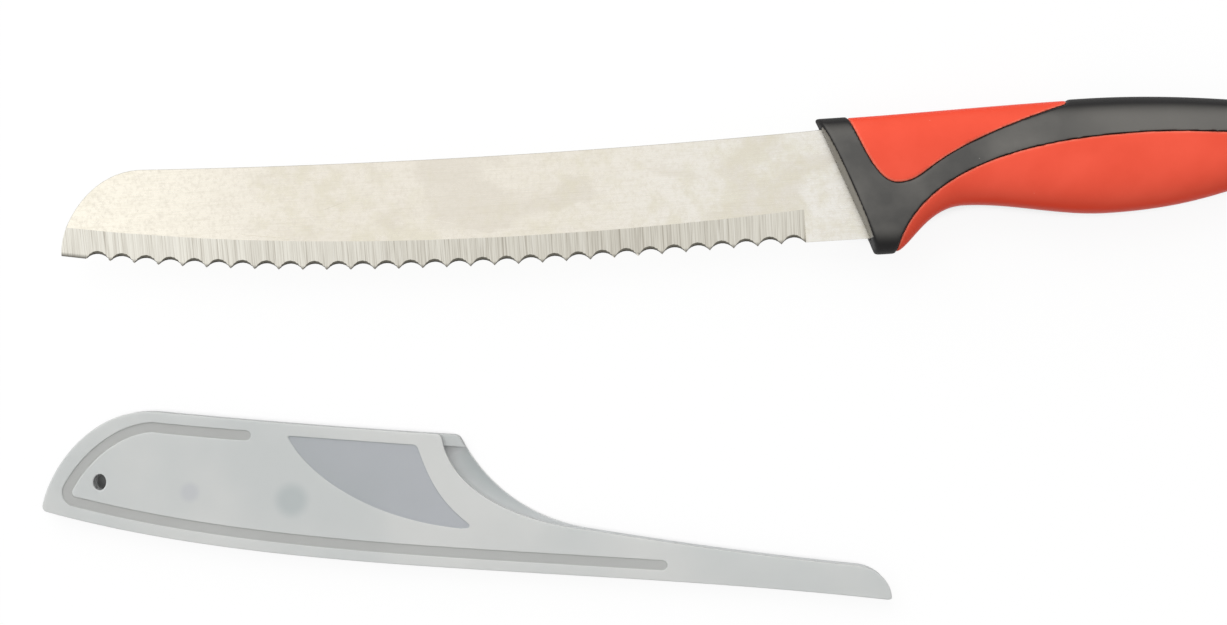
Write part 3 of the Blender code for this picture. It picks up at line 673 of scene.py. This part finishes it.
@dataclass
class Blade:
    """The stamped blade with its ground bevel, scallops and hidden tang."""

    length: float = 197.6 * MM
    spine_height: float = 15.7 * MM
    tip_drop: float = 4.5 * MM
    spine_round: float = 0.12 * MM
    level_slack: float = 0.01 * MM
    shown_depth: float = 0.3 * MM
    end_turn: float = 0.9
    flat_tilt: float = radians(4)
    bevel_tilt: float = radians(25)
    hollow_tilt: float = radians(80)
    hollow_turn: float = radians(30)
    darkest: float = 57 * MM
    scratches: tuple[tuple[tuple[float, float], tuple[float, float], float, str], ...] = (
        ((-40.4 * MM, -6.8 * MM), (-39.4 * MM, -8.2 * MM), 0.3 * MM, "#8A857A"),
        ((-58.6 * MM, 4.9 * MM), (-57.0 * MM, 0.4 * MM), 0.2 * MM, "#EEE9DE"),
        ((-60.2 * MM, 3.4 * MM), (-57.6 * MM, -2.2 * MM), 0.2 * MM, "#EEE9DE"),
        ((-104.0 * MM, -1.2 * MM), (-98.5 * MM, -2.6 * MM), 0.2 * MM, "#EEE8DB"),
        ((-131.0 * MM, 3.0 * MM), (-126.5 * MM, 4.4 * MM), 0.2 * MM, "#D3CCBC"),
        ((-152.0 * MM, -2.0 * MM), (-143.5 * MM, -3.2 * MM), 0.2 * MM, "#DAD3C2"),
    )

    def origin(self) -> Vector:
        """The origin of the knife's own frame: the collar's front, in the blade's middle plane."""
        low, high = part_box("blade")
        return Vector((low.x + self.length, high.y - self.spine_height, (low.z + high.z) / 2))

    def build(self) -> Object:
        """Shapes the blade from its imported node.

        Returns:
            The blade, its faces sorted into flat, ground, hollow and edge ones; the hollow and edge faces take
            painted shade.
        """
        shape = node_copy("blade")
        edge_top = self.origin().y - self.tip_drop
        middle = self.origin().z

        def on_spine(edge: BMEdge) -> bool:
            """Whether the edge is a long corner of the spine or the nose."""
            level = abs(edge.verts[0].co.z - edge.verts[1].co.z) < self.level_slack
            high = min(vert.co.y for vert in edge.verts) > edge_top
            return level and high and edge.calc_face_angle() > CORNER

        bevelled(shape, self.spine_round, on_spine)
        for face in shape.faces:
            tilt = face.normal.angle(Vector((0, 0, 1)))
            centre = face.calc_center_median()
            shown = centre.z > middle - self.shown_depth
            if shown and self.flat_tilt < tilt < self.bevel_tilt and face.normal.y < 0:
                face.material_index = 1
            elif face.normal.y < 0 and self.bevel_tilt < tilt < self.hollow_tilt:
                face.material_index = 2
            elif shown and tilt > self.bevel_tilt:
                ends_bevel = abs(face.normal.x) > self.end_turn and centre.y < edge_top
                face.material_index = 1 if ends_bevel else 3
            face.smooth = abs(face.normal.z) < cos(self.flat_tilt)
        for edge in shape.edges:
            near, far = (face.material_index for face in edge.link_faces)
            edge.smooth = near == far and edge.calc_face_angle() < self.hollow_turn
        return placed("blade_steel", shape)

    def dress(self, piece: Object) -> None:
        """Gives the blade its steels.

        Args:
            piece: The blade.
        """
        origin = self.origin()
        scratches = tuple(
            Scratch(origin.xy + Vector(start), origin.xy + Vector(end), width, code)
            for start, end, width, code in self.scratches
        )
        bevel = [face for face in piece.data.polygons if face.material_index == 1]
        tips = min(piece.data.vertices[corner].co.z for face in bevel for corner in face.vertices)
        finishes = (
            SatinSteel(
                "satin_stainless_steel",
                "#EAE4D8",
                0.28,
                1.0,
                tip=origin.x - self.length,
                heel=origin.x,
                scratches=scratches,
            ),
            GroundSteel("ground_stainless_steel", "#E4E0D4", 0.34, 1.0, dip=origin.x - self.darkest, low=tips),
            # Painted shade: the scallops' hollows are painted dark, darkest at the sharp edge.
            HollowSteel("hollow_steel_painted_shade", "#7A766C", 0.4, 1.0, low=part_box("blade")[0].z),
            # Painted shade: the rounded spine and the steep walls at the nose take a darker steel.
            GroundSteel("steel_edge_painted_shade", "#9C9484", 0.4, 1.0, light="#9C9484", dip=origin.x),
        )
        enter(piece, finishes, Body.KNIFE, "blade")


# Handle


@dataclass
class Handle:
    """The red core and the black soft grip over it, as one swept form parted along the grip's outline."""

    origin: Vector
    length: float = 123 * MM
    blade_top: float = 15.5 * MM
    blade_drop: float = 12.45 * MM
    blade_thickness: float = 1.8 * MM
    ahead: float = 0.9 * MM
    collar_lean: float = radians(20.5)
    lean_run: float = 32 * MM
    draft: float = 1.2 * MM
    draft_run: float = 9 * MM
    collar_round: float = 0.8 * MM
    collar_wall: float = 2.5 * MM
    top_step: float = 2.35 * MM
    toe_step: float = 3.95 * MM
    toe_end: float = 10 * MM
    collar_half: float = 7.8 * MM
    notch: tuple[float, float, float] = (28.3 * MM, -5.65 * MM, 8.2 * MM)
    belly: tuple[float, float, float] = (64 * MM, -9.75 * MM, 9.5 * MM)
    waist: tuple[float, float, float] = (111 * MM, -3.6 * MM, 8.6 * MM)
    butt: tuple[float, float, float] = (123 * MM, -6 * MM, 8.8 * MM)
    crest: tuple[float, float] = (60 * MM, 18.85 * MM)
    butt_height: float = 12 * MM
    butt_slope: float = 4 * MM
    butt_round: float = 10 * MM
    squareness: float = 2.5
    ring_points: int = 96
    ring_merge: float = 0.001 * MM
    ring_spacing: float = 0.9 * MM
    lean_turns: int = 20
    collar_shares: tuple[float, ...] = (0, 0.06, 0.2, 0.4, 0.7, 1)
    butt_shares: tuple[float, ...] = (0.1, 0.2, 0.3, 0.4, 0.5, 0.6, 0.7, 0.78, 0.85, 0.9, 0.94, 0.97, 0.985, 0.995)
    grip_thickness: float = 2.0 * MM
    grip_proud: float = 0.25 * MM
    seam: float = 0.05 * MM
    fit: float = 0.3 * MM
    collar_fit: float = 0.12 * MM
    reach: float = 19 * MM
    wedge_front: float = 0.4 * MM
    wedge_low: tuple[float, float] = (11.5 * MM, 0.7 * MM)
    wedge_curls: tuple[float, float] = (5.3 * MM, 8.6 * MM)
    wedge_end: tuple[float, float] = (54.3 * MM, 17.5 * MM)
    wedge_slope: float = radians(15)
    wedge_reach: float = 39.9 * MM
    wedge_fall: float = 0.45
    outline_step: float = 0.02 * MM
    band_foot: tuple[float, float] = (10.2 * MM, -18 * MM)
    band_rise: float = 7 * MM
    band_crest: tuple[float, float] = (71.5 * MM, 9.4 * MM)
    band_reach: float = 53.7 * MM
    band_butt: float = 5 * MM
    tang: tuple[float, float, float] = (75 * MM, 0.5 * MM, 12.5 * MM)
    post_places: tuple[float, float] = (30 * MM, 58 * MM)
    post_width: float = 4.4 * MM
    post_sides: int = 32
    grip_voxel: float = 0.35 * MM
    core_voxel: float = 0.4 * MM
    smooth_turns: int = 6
    smooth_share: float = 0.5
    front_depth: float = 1.5 * MM
    front_turn: float = 0.9
    slot_lip: float = 2.0 * MM
    wedge_tip: tuple[float, float] = (2.0 * MM, 2.2 * MM)
    highlight_width: float = 0.6 * MM
    # Below this height the rubber takes its painted side shade all over.
    toe_shade: float = -14.8 * MM
    # The rubber's darker mottling is at full strength up to the first place and fades to a quarter by the second.
    mottle_fade: tuple[float, float] = (38 * MM, 70 * MM)

    def collar_line(self, height: float, depth: float = 0.0) -> Vector:
        """A point some depth behind the leaning front of the collar."""
        return Vector((depth - self.ahead - height * tan(self.collar_lean), height))

    def lines(self) -> tuple[list[Vector], list[Vector], list[Vector]]:
        """Draws the long lines of the handle.

        Returns:
            The back, the underside and the half width, each over x.
        """
        toe = -self.blade_drop - self.toe_step
        third = (self.length - self.crest[0]) / 3
        back = level_curve(self.collar_line(self.blade_top + self.top_step), self.crest) + curve(
            self.crest,
            (self.crest[0] + third, self.crest[1]),
            (self.length - third, self.butt_height + self.butt_slope),
            (self.length, self.butt_height),
        )
        underside = (
            [self.collar_line(toe)]
            + level_curve((self.toe_end, toe), self.notch, 0.23, 0.54)
            + level_curve(self.notch, self.belly)
            + level_curve(self.belly, self.waist, 0.57, 0.3)
            + level_curve(self.waist, self.butt)
        )
        stations = [(0, 0, self.collar_half), self.notch, self.belly, self.waist, self.butt]
        width = []
        for near, far in zip(stations, stations[1:]):
            width += level_curve((near[0], near[2]), (far[0], far[2]))
        return back, underside, width

    def ring(
        self, lines: tuple[list[Vector], ...], place: float, inset: float, shrink: float = 1.0
    ) -> list[Vector]:
        """Draws one rounded section, which leans with the collar near the front.

        Args:
            lines: The long lines.
            place: Where the section stands.
            inset: How far it lies inside the handle's skin.
            shrink: Its share of the full size.

        Returns:
            The section's points.
        """
        back, underside, width = lines
        settle = min(max(place / self.lean_run, 0), 1)
        lean = tan(self.collar_lean) * (1 - settle**2 * (3 - 2 * settle))
        draft = self.draft / self.collar_half * max(0, 1 - place / self.draft_run)
        high, low = height_at(back, place), height_at(underside, place)
        for _ in range(self.lean_turns):
            high = height_at(back, place - lean * high)
            low = height_at(underside, place - lean * low)
        tall = ((high - low) / 2 - inset) * shrink
        wide = (height_at(width, place) - inset) * shrink
        points = []
        for i in range(self.ring_points):
            angle = 2 * pi * i / self.ring_points
            up, out = (np.sign(part) * abs(part) ** (2 / self.squareness) for part in (cos(angle), sin(angle)))
            y, z = (high + low) / 2 + tall * up, wide * out
            points.append(self.origin + Vector((place - lean * y + draft * abs(z), y, z)))
        return points

    def form(self, name: str, inset: float, front: float = 0.0) -> Object:
        """Sweeps the handle's whole form.

        Args:
            name: The form's name.
            inset: How far it lies inside the handle's skin.
            front: How far its front is set back.

        Returns:
            The closed form.
        """
        lines = self.lines()
        front -= self.ahead
        round_start = self.length - inset - self.butt_round
        rings = []
        for share in self.collar_shares:
            rounding = self.collar_round * (1 - (1 - (1 - share) ** 2) ** 0.5)
            rings.append(self.ring(lines, front + self.collar_round * share, inset + rounding))
        straight = np.arange(front + self.collar_round + self.ring_spacing, round_start, self.ring_spacing)
        rings += [self.ring(lines, float(place), inset) for place in straight]
        for share in self.butt_shares:
            shrink = (1 - share**self.squareness) ** (1 / self.squareness)
            rings.append(self.ring(lines, round_start + self.butt_round * share, inset, shrink))
        shape = bmesh.new()
        last, count = len(rings) - 1, self.ring_points
        bmesh.ops.create_grid(shape, x_segments=last, y_segments=count, size=1)
        for vert in shape.verts:
            row = round((vert.co.x + 1) / 2 * last)
            vert.co = rings[row][round((vert.co.y + 1) / 2 * count) % count]
        bmesh.ops.remove_doubles(shape, verts=shape.verts, dist=self.ring_merge)
        rim = [edge for edge in shape.edges if edge.is_boundary]
        bmesh.ops.holes_fill(shape, edges=rim, sides=0)
        bmesh.ops.recalc_face_normals(shape, faces=shape.faces)
        return placed(name, shape)

    def zone_outline(self, grow: float) -> list[Vector]:
        """Draws the outline that holds all that is black from the side.

        Args:
            grow: How much wider it is all round.

        Returns:
            The outline's points, in the knife's own frame.
        """
        high, low = self.crest[1] + self.reach, self.band_foot[1] - self.reach
        wedge_low, wedge_end = Vector(self.wedge_low), Vector(self.wedge_end)
        wedge_top = Vector((self.wedge_front, self.blade_top + self.top_step))
        wedge_tip = wedge_end + Vector(self.wedge_tip)
        crest, foot = Vector(self.band_crest), Vector(self.band_foot)
        rear = Vector((self.length, self.band_butt))
        third = (rear - crest) / 3
        down = Vector((sin(self.collar_lean), -cos(self.collar_lean)))
        climb = Vector((cos(self.wedge_slope), sin(self.wedge_slope)))
        beyond = self.length + self.reach
        outline = [Vector((-self.reach, low)), Vector((foot.x, low))]
        runs = (
            curve(foot, foot + Vector((self.draft, self.band_rise)), crest - Vector((self.band_reach, 0)), crest),
            curve(crest, crest + Vector((third.x, 0)), rear - third, rear),
            [Vector((beyond, rear.y)), Vector((beyond, high)), Vector((wedge_tip.x, high)), wedge_tip],
            curve(
                wedge_end,
                wedge_end - climb * self.wedge_reach,
                wedge_low + Vector((self.wedge_curls[1], 0)),
                wedge_low,
            ),
            curve(
                wedge_low,
                wedge_low - Vector((self.wedge_curls[0], 0)),
                wedge_top + down * (wedge_top - wedge_low).y * self.wedge_fall,
                wedge_top,
            ),
            [wedge_top - down * self.reach, Vector((-self.reach, wedge_top.y + self.reach))],
        )
        for run in runs:
            outline += [point for point in run if (point - outline[-1]).length > self.outline_step]
        return shifted(outline, grow)

    def mark_highlight(self, core: Object) -> None:
        """Marks how near each point of the core lies to the grip's outline, as the attribute rim, where a painted
        highlight is laid along the core's edge at the seam.

        Args:
            core: The red moulding.
        """
        places = np.empty(3 * len(core.data.vertices))
        core.data.vertices.foreach_get("co", places)
        flat = places.reshape(-1, 3)[:, :2]
        nearest = np.full(len(flat), np.inf)
        outline = [np.array(point + self.origin.xy) for point in self.zone_outline(0)]
        for start, end in zip(outline, outline[1:] + outline[:1]):
            run = end - start
            share = np.clip((flat - start) @ run / (run @ run), 0, 1)
            nearest = np.minimum(nearest, np.linalg.norm(flat - start - share[:, None] * run, axis=1))
        rim = core.data.attributes.new("rim", "FLOAT", "POINT")
        rim.data.foreach_set("value", np.clip(2 - 2 * nearest / self.highlight_width, 0, 1))

    def block(self, name: str, outline: Sequence[Vector], half: float) -> Object:
        """Draws a flat outline out to a block, as far above the blade's middle plane as below it.

        Args:
            name: The block's name.
            outline: Its outline in the knife's own frame.
            half: Half its thickness.

        Returns:
            The block.
        """
        shape = bmesh.new()
        low, high = self.origin.z - half, self.origin.z + half
        bottom = shape.faces.new([shape.verts.new((*(point + self.origin.xy), low)) for point in outline])
        drawn = bmesh.ops.extrude_face_region(shape, geom=[bottom], use_keep_orig=True)["geom"]
        top = [item for item in drawn if isinstance(item, BMVert)]
        bmesh.ops.translate(shape, verts=top, vec=(0, 0, high - low))
        bmesh.ops.recalc_face_normals(shape, faces=shape.faces)
        return placed(name, shape)

    def softened(self, piece: Object, voxel: float) -> None:
        """Rolls the edges of a moulding over.

        Args:
            piece: The moulding.
            voxel: The size of its new even faces.
        """
        remesh = piece.modifiers.new("even", "REMESH")
        remesh.mode = "VOXEL"
        remesh.voxel_size = voxel
        smooth = piece.modifiers.new("soften", "SMOOTH")
        smooth.factor = self.smooth_share
        smooth.iterations = self.smooth_turns
        settled(piece)
        piece.data.shade_smooth()

    def build_grip(self) -> Object:
        """Shapes the black moulding.

        Returns:
            The collar, band and back in one shell.
        """
        grip = self.form("soft_grip_rubber", -self.grip_proud)
        behind = self.collar_wall + self.grip_thickness
        low, high = -self.blade_drop - self.fit, self.blade_top + self.fit
        ends = ((low, -self.reach), (low, behind), (high, behind), (high, -self.reach))
        outline = [self.collar_line(height, depth) for height, depth in ends]
        slot = self.block("collar_slot", outline, self.blade_thickness / 2 + self.collar_fit)
        combined(grip, "INTERSECT", self.block("grip_zone", self.zone_outline(0), self.reach))
        inside = self.form("grip_hollow", self.grip_thickness - self.grip_proud, self.collar_wall)
        combined(grip, "DIFFERENCE", inside, slot)
        self.softened(grip, self.grip_voxel)
        return grip

    def build_core(self) -> Object:
        """Shapes the red moulding.

        Returns:
            The core, full where it shows and slimmer under the grip.
        """
        core = self.form("handle_core_red", 0)
        under = self.grip_thickness - self.grip_proud + self.fit
        zone = self.block("grip_zone_grown", self.zone_outline(self.seam), self.reach)
        combined(core, "DIFFERENCE", zone)
        combined(core, "UNION", self.form("core_under_grip", under, self.collar_wall + self.fit))
        end, low, high = self.tang[0] + self.fit, self.tang[1] - self.fit, self.tang[2] + self.fit
        outline = [Vector((-self.reach, low)), Vector((end, low)), Vector((end, high)), Vector((-self.reach, high))]
        combined(core, "DIFFERENCE", self.block("tang_pocket", outline, self.blade_thickness / 2 + self.fit))
        posts = []
        for place in self.post_places:
            shape = bmesh.new()
            middle = self.origin + Vector((place, (low + high) / 2, 0))
            bmesh.ops.create_cone(
                shape,
                cap_ends=True,
                segments=self.post_sides,
                radius1=self.post_width / 2,
                radius2=self.post_width / 2,
                depth=2 * self.blade_thickness,
                matrix=Matrix.Translation(middle),
            )
            posts.append(placed("tang_post", shape))
        combined(core, "UNION", *posts)
        self.softened(core, self.core_voxel)
        self.mark_highlight(core)
        return core

    def dress(self, grip: Object, core: Object) -> None:
        """Gives the two mouldings their skins.

        Args:
            grip: The black moulding.
            core: The red moulding.
        """
        # Painted shade: the rubber's sides and its toe take the near-black side colour, so the upward faces read
        # paler, as if lit.
        rubber = MouldedSkin(
            "thermoplastic_rubber",
            "#706E6A",
            0.65,
            specular=0.25,
            mottle="#555452",
            mottle_run=(self.origin.x + self.mottle_fade[0], self.origin.x + self.mottle_fade[1]),
            mottle_end=0.25,
            side="#222121",
            side_shade_turn=(0.66, 0.96),
            shade_floor=self.origin.y + self.toe_shade,
            dust="#A8A69E",
            dust_share=0.35,
        )
        # The front's paler colour is partly painted reflection of the light and the blade beside it, on a glossier
        # rubber.
        front = MouldedSkin(
            "glossy_rubber_front_painted_reflection",
            "#7F7A71",
            0.35,
            mottle="#706B62",
            side="#7C776D",
            dust="#5A564F",
            dust_share=0.5,
            grain_strength=0.1,
        )
        # Painted shade on the red's sides, and a painted highlight along its edge at the seam.
        red = MouldedSkin(
            "red_polypropylene",
            "#F85D45",
            0.45,
            specular=0.15,
            mottle="#F0553D",
            side="#FA4828",
            rim="#FF9C84",
            highlight_share=0.45,
            dust="#FF9A86",
            dust_share=0.12,
            grain_strength=0.15,
        )
        for piece, finishes, slot, node in (
            (grip, (rubber, front), Slot.BLACK, "soft_grip"),
            (core, (red,), Slot.RED, "handle_core"),
        ):
            piece.data.materials.clear()
            enter(piece, finishes, Body.KNIFE, node)
        ahead = Vector((-cos(self.collar_lean), -sin(self.collar_lean), 0))
        for face in grip.data.polygons:
            place = face.center - self.origin
            depth = place.x - self.collar_line(place.y).x
            beside = -self.blade_drop < place.y < self.blade_top
            slot = abs(place.z) < self.slot_lip
            if beside and depth < self.front_depth and (slot or face.normal.dot(ahead) > self.front_turn):
                face.material_index = 1


# Guard


@dataclass
class Guard:
    """The frosted guard: back wall, rim and front wall, with its groove, fin panel, hole and inner pads."""

    knife: Vector
    ahead: float = 2.1 * MM
    aside: float = 84.9 * MM
    turn: float = radians(-6.35)
    tip: tuple[float, float] = (-210.2 * MM, -6.5 * MM)
    large_pad: tuple[float, float, float] = (62.8 * MM, 5.8 * MM, 8.4 * MM)
    small_pad: tuple[float, float, float] = (37 * MM, 6.5 * MM, 5 * MM)
    fin_front: float = -152 * MM
    fin_low: float = -7 * MM
    edge_round: float = 0.2 * MM
    weld_gap: float = 0.02 * MM
    recess: float = 0.6 * MM
    recess_ease: float = 0.2 * MM
    recess_lift: float = 0.35 * MM
    recess_slack: float = 0.05 * MM
    wall_turn: float = 0.3
    level_turn: float = 0.99
    lip_turn: tuple[float, float] = (0.2, 0.95)
    smooth_turn: float = radians(35)

    def corner(self) -> Vector:
        """The origin of the guard's own frame."""
        return Vector((self.knife.x + self.ahead, self.knife.y - self.aside, 0))

    def local(self, place: Vector) -> Vector:
        """Turns a place in the scene into the guard's own frame."""
        return Matrix.Rotation(-self.turn, 3, "Z") @ (place - self.corner())

    def spot(self, pad: tuple[float, float, float], code: str) -> Spot:
        """The soft disc of a pad, given by its place from the tip and its width, on the front wall."""
        local = Vector((self.tip[0] + pad[0], self.tip[1] + pad[1], 0))
        return Spot(self.corner() + Matrix.Rotation(self.turn, 3, "Z") @ local, pad[2] / 2, code)

    def build(self, node: str) -> Object:
        """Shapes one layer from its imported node.

        Args:
            node: The node's name.

        Returns:
            The layer, its recesses sorted from its outside.
        """
        shape = node_copy(node)
        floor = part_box(node)[1].z - self.recess + self.recess_lift
        if node == "guard_front":
            self.ease(shape)
        others = [BVHTree.FromBMesh(node_copy(name)) for name in GUARD_LAYERS if name != node]

        def stands_free(edge: BMEdge) -> bool:
            """Whether the edge is an outer corner that no other layer is welded to."""
            middle = (edge.verts[0].co + edge.verts[1].co) / 2
            welded = any(other.find_nearest(middle, self.weld_gap)[0] for other in others)
            return edge.is_convex and edge.calc_face_angle() > CORNER and not welded

        bevelled(shape, self.edge_round, stands_free)
        for face in shape.faces:
            face.smooth = abs(face.normal.z) < self.level_turn
            if node == "guard_front" and face.normal.z > self.lip_turn[0]:
                deepest = min(vert.co.z for vert in face.verts)
                if abs(deepest - floor) < self.recess_slack:
                    corners = [self.local(vert.co) for vert in face.verts]
                    fin = all(corner.x > self.fin_front and corner.y > self.fin_low for corner in corners)
                    face.material_index = 2 if fin else 1
            # Painted highlight: the back wall's sloped lip faces that no layer covers take a paler lip colour.
            elif node == "guard_back" and self.lip_turn[0] < face.normal.z < self.lip_turn[1]:
                above = [other.ray_cast(face.calc_center_median(), Vector((0, 0, 1)))[0] for other in others]
                face.material_index = int(not any(above))
        for edge in shape.edges:
            edge.smooth = edge.calc_face_angle() < self.smooth_turn
        return placed(node + "_frosted", shape)

    def ease(self, shape: BMesh) -> None:
        """Slopes the walls of the recesses and brings their floors up, as light inside the plastic does to the eye.

        Args:
            shape: The front wall.
        """
        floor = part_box("guard_front")[1].z - self.recess
        for vert in [vert for vert in shape.verts if abs(vert.co.z - floor) < self.weld_gap]:
            walls = [face.normal for face in vert.link_faces if abs(face.normal.z) < self.wall_turn]
            inward = sum(walls, Vector()).normalized()
            vert.co += inward * self.recess_ease + Vector((0, 0, self.recess_lift))

    def dress(self, *layers: Object) -> None:
        """Gives the layers their frosted plastic.

        Args:
            layers: The back wall, the rim and the front wall.
        """
        spots = (self.spot(self.large_pad, "#B9BFBF"), self.spot(self.small_pad, "#C4C6C8"))
        sheets = (
            (
                # The inside is painted paler where the walls above cover it, as painted light.
                FrostedSheet("frosted_polypropylene_inside", "#A9AFAF", 0.45, cloud="#A4AAAB", through="#F6F8F8"),
                # The lip colour is a painted highlight on the back wall's open edge.
                FrostedSheet("polypropylene_lip_painted_highlight", "#EDEFEF", 0.3, cloud="#E8EAEA"),
            ),
            (FrostedSheet("frosted_polypropylene_rim", "#C2C5C4", 0.45, cloud="#BDC0BF"),),
            (
                FrostedSheet("frosted_polypropylene", "#D3D4D2", 0.5, spots=spots),
                FrostedSheet("polished_polypropylene_groove", "#B8B9B7", 0.35, cloud="#B3B4B2"),
                FrostedSheet("polished_polypropylene_panel", "#B3B6BA", 0.3, cloud="#AEB2B5"),
            ),
        )
        for piece, finishes, node in zip(layers, sheets, GUARD_LAYERS):
            enter(piece, finishes, Body.GUARD, node)


# Studio


@dataclass
class Studio:
    """The white table, the soft light and the camera straight above."""

    knife: Vector
    camera_shift: tuple[float, float] = (-60.587 * MM, -27.034 * MM)
    camera_height: float = 519.5 * MM
    camera_turn: float = radians(-3.5)
    lens: float = 59.85
    sensor: float = 36.0
    nearest: float = 10 * MM
    table_half: float = 4.0
    table_gap: float = 0.1 * MM
    table_share: float = 0.1
    table_lift: float = 1.05
    # Painted shadow: how far the AO node looks, and the cover over which the table's glow goes from dark to full.
    shadow_reach: float = 10 * MM
    shadow_span: tuple[float, float] = (0.1, 0.55)
    zenith: float = 1.1
    horizon: float = 0.36
    sky_power: float = 2.0
    sky_axis: tuple[float, float, float] = (-0.15, 0.15, 0.977)
    lamp_place: tuple[float, float, float] = (-1.0, 1.75, 1.4)
    lamp_size: float = 2.4
    lamp_power: float = 35.0

    def build_table(self) -> Object:
        """Lays the table.

        Returns:
            The table, white to the eye with painted shadows where the AO node finds the object near, and grey to
            bounced light.
        """
        shape = bmesh.new()
        bmesh.ops.create_grid(
            shape,
            x_segments=8,
            y_segments=8,
            size=self.table_half,
            matrix=Matrix.Translation((0, 0, -self.table_gap)),
        )
        table = placed("table", shape)
        paint = bpy.data.materials.new("white_table_paint")
        paint.use_nodes = True
        tree = paint.node_tree
        tree.nodes.clear()
        ray = add(tree, "LightPath", {})
        seen = ray["Is Camera Ray"]
        for kind in ("Is Glossy Ray", "Is Transmission Ray"):
            seen = add(tree, "Math", {0: seen, 1: ray[kind]}, operation="MAXIMUM")[0]
        # Painted shadow: the white glow dims where the AO node finds the object near, darkening the table along the
        # object and inside the guard's hole.
        painted_shadow = add(tree, "AmbientOcclusion", {"Distance": self.shadow_reach})
        closest, clear = self.shadow_span
        open_share = add(
            tree,
            "MapRange",
            {"Value": painted_shadow["AO"], "From Min": closest, "From Max": clear, "To Max": 1 - self.table_share},
        )
        level = add(tree, "Math", {0: seen, 1: open_share[0]}, operation="MULTIPLY")
        glow = add(tree, "Emission", {"Strength": level[0]})
        matt = add(tree, "BsdfDiffuse", {"Color": (*[self.table_share * self.table_lift] * 3, 1)})
        both = add(tree, "AddShader", {0: matt[0], 1: glow[0]})
        add(tree, "OutputMaterial", {"Surface": both[0]})
        table.data.materials.append(paint)
        return table

    def build_light(self) -> None:
        """Hangs a soft lamp on the side of the tip, under a sky that dims towards the horizon."""
        lamp = bpy.data.objects.new("soft_lamp", bpy.data.lights.new("soft_lamp", "AREA"))
        lamp.data.size = self.lamp_size
        lamp.data.energy = self.lamp_power
        # The steel mirrors the sky alone, so the lamp leaves no white glare on the blade.
        lamp.visible_glossy = False
        lamp.location = self.lamp_place
        lamp.rotation_euler = Vector(self.lamp_place).to_track_quat("Z", "Y").to_euler()
        bpy.context.scene.collection.objects.link(lamp)
        sky = bpy.data.worlds.new("studio_sky")
        sky.use_nodes = True
        tree = sky.node_tree
        toward = add(tree, "TexCoord", {})["Generated"]
        axis = Vector(self.sky_axis).normalized()
        height = add(tree, "VectorMath", {0: toward, 1: axis}, operation="DOT_PRODUCT")["Value"]
        above = add(tree, "Math", {0: height, 1: 0.0}, operation="MAXIMUM")
        steep = add(tree, "Math", {0: above[0], 1: self.sky_power}, operation="POWER")
        level = add(tree, "MapRange", {"Value": steep[0], "To Min": self.horizon, "To Max": self.zenith})
        feed(tree, tree.nodes["Background"], {"Strength": level[0], "Color": linear("#FFFFFF")})
        bpy.context.scene.world = sky

    def build_camera(self) -> None:
        """Sets the camera over the table, looking straight down."""
        camera = bpy.data.objects.new("camera", bpy.data.cameras.new("camera"))
        camera.data.lens = self.lens
        camera.data.sensor_width = self.sensor
        camera.data.clip_start = self.nearest
        camera.location = (*(self.knife.xy + Vector(self.camera_shift)), self.camera_height)
        camera.rotation_euler.z = self.camera_turn
        bpy.context.scene.collection.objects.link(camera)
        bpy.context.scene.camera = camera
        bpy.context.scene.view_settings.view_transform = "Standard"


def main() -> None:
    """Builds the studio, the knife and the guard, in order."""
    logging.basicConfig(level=logging.INFO, format="%(message)s")
    blade = Blade()
    studio = Studio(blade.origin())
    studio.build_camera()
    studio.build_table()
    studio.build_light()
    blade.dress(blade.build())
    handle = Handle(blade.origin())
    handle.dress(handle.build_grip(), handle.build_core())
    guard = Guard(blade.origin())
    guard.dress(*(guard.build(node) for node in GUARD_LAYERS))


if __name__ == "__main__":
    main()
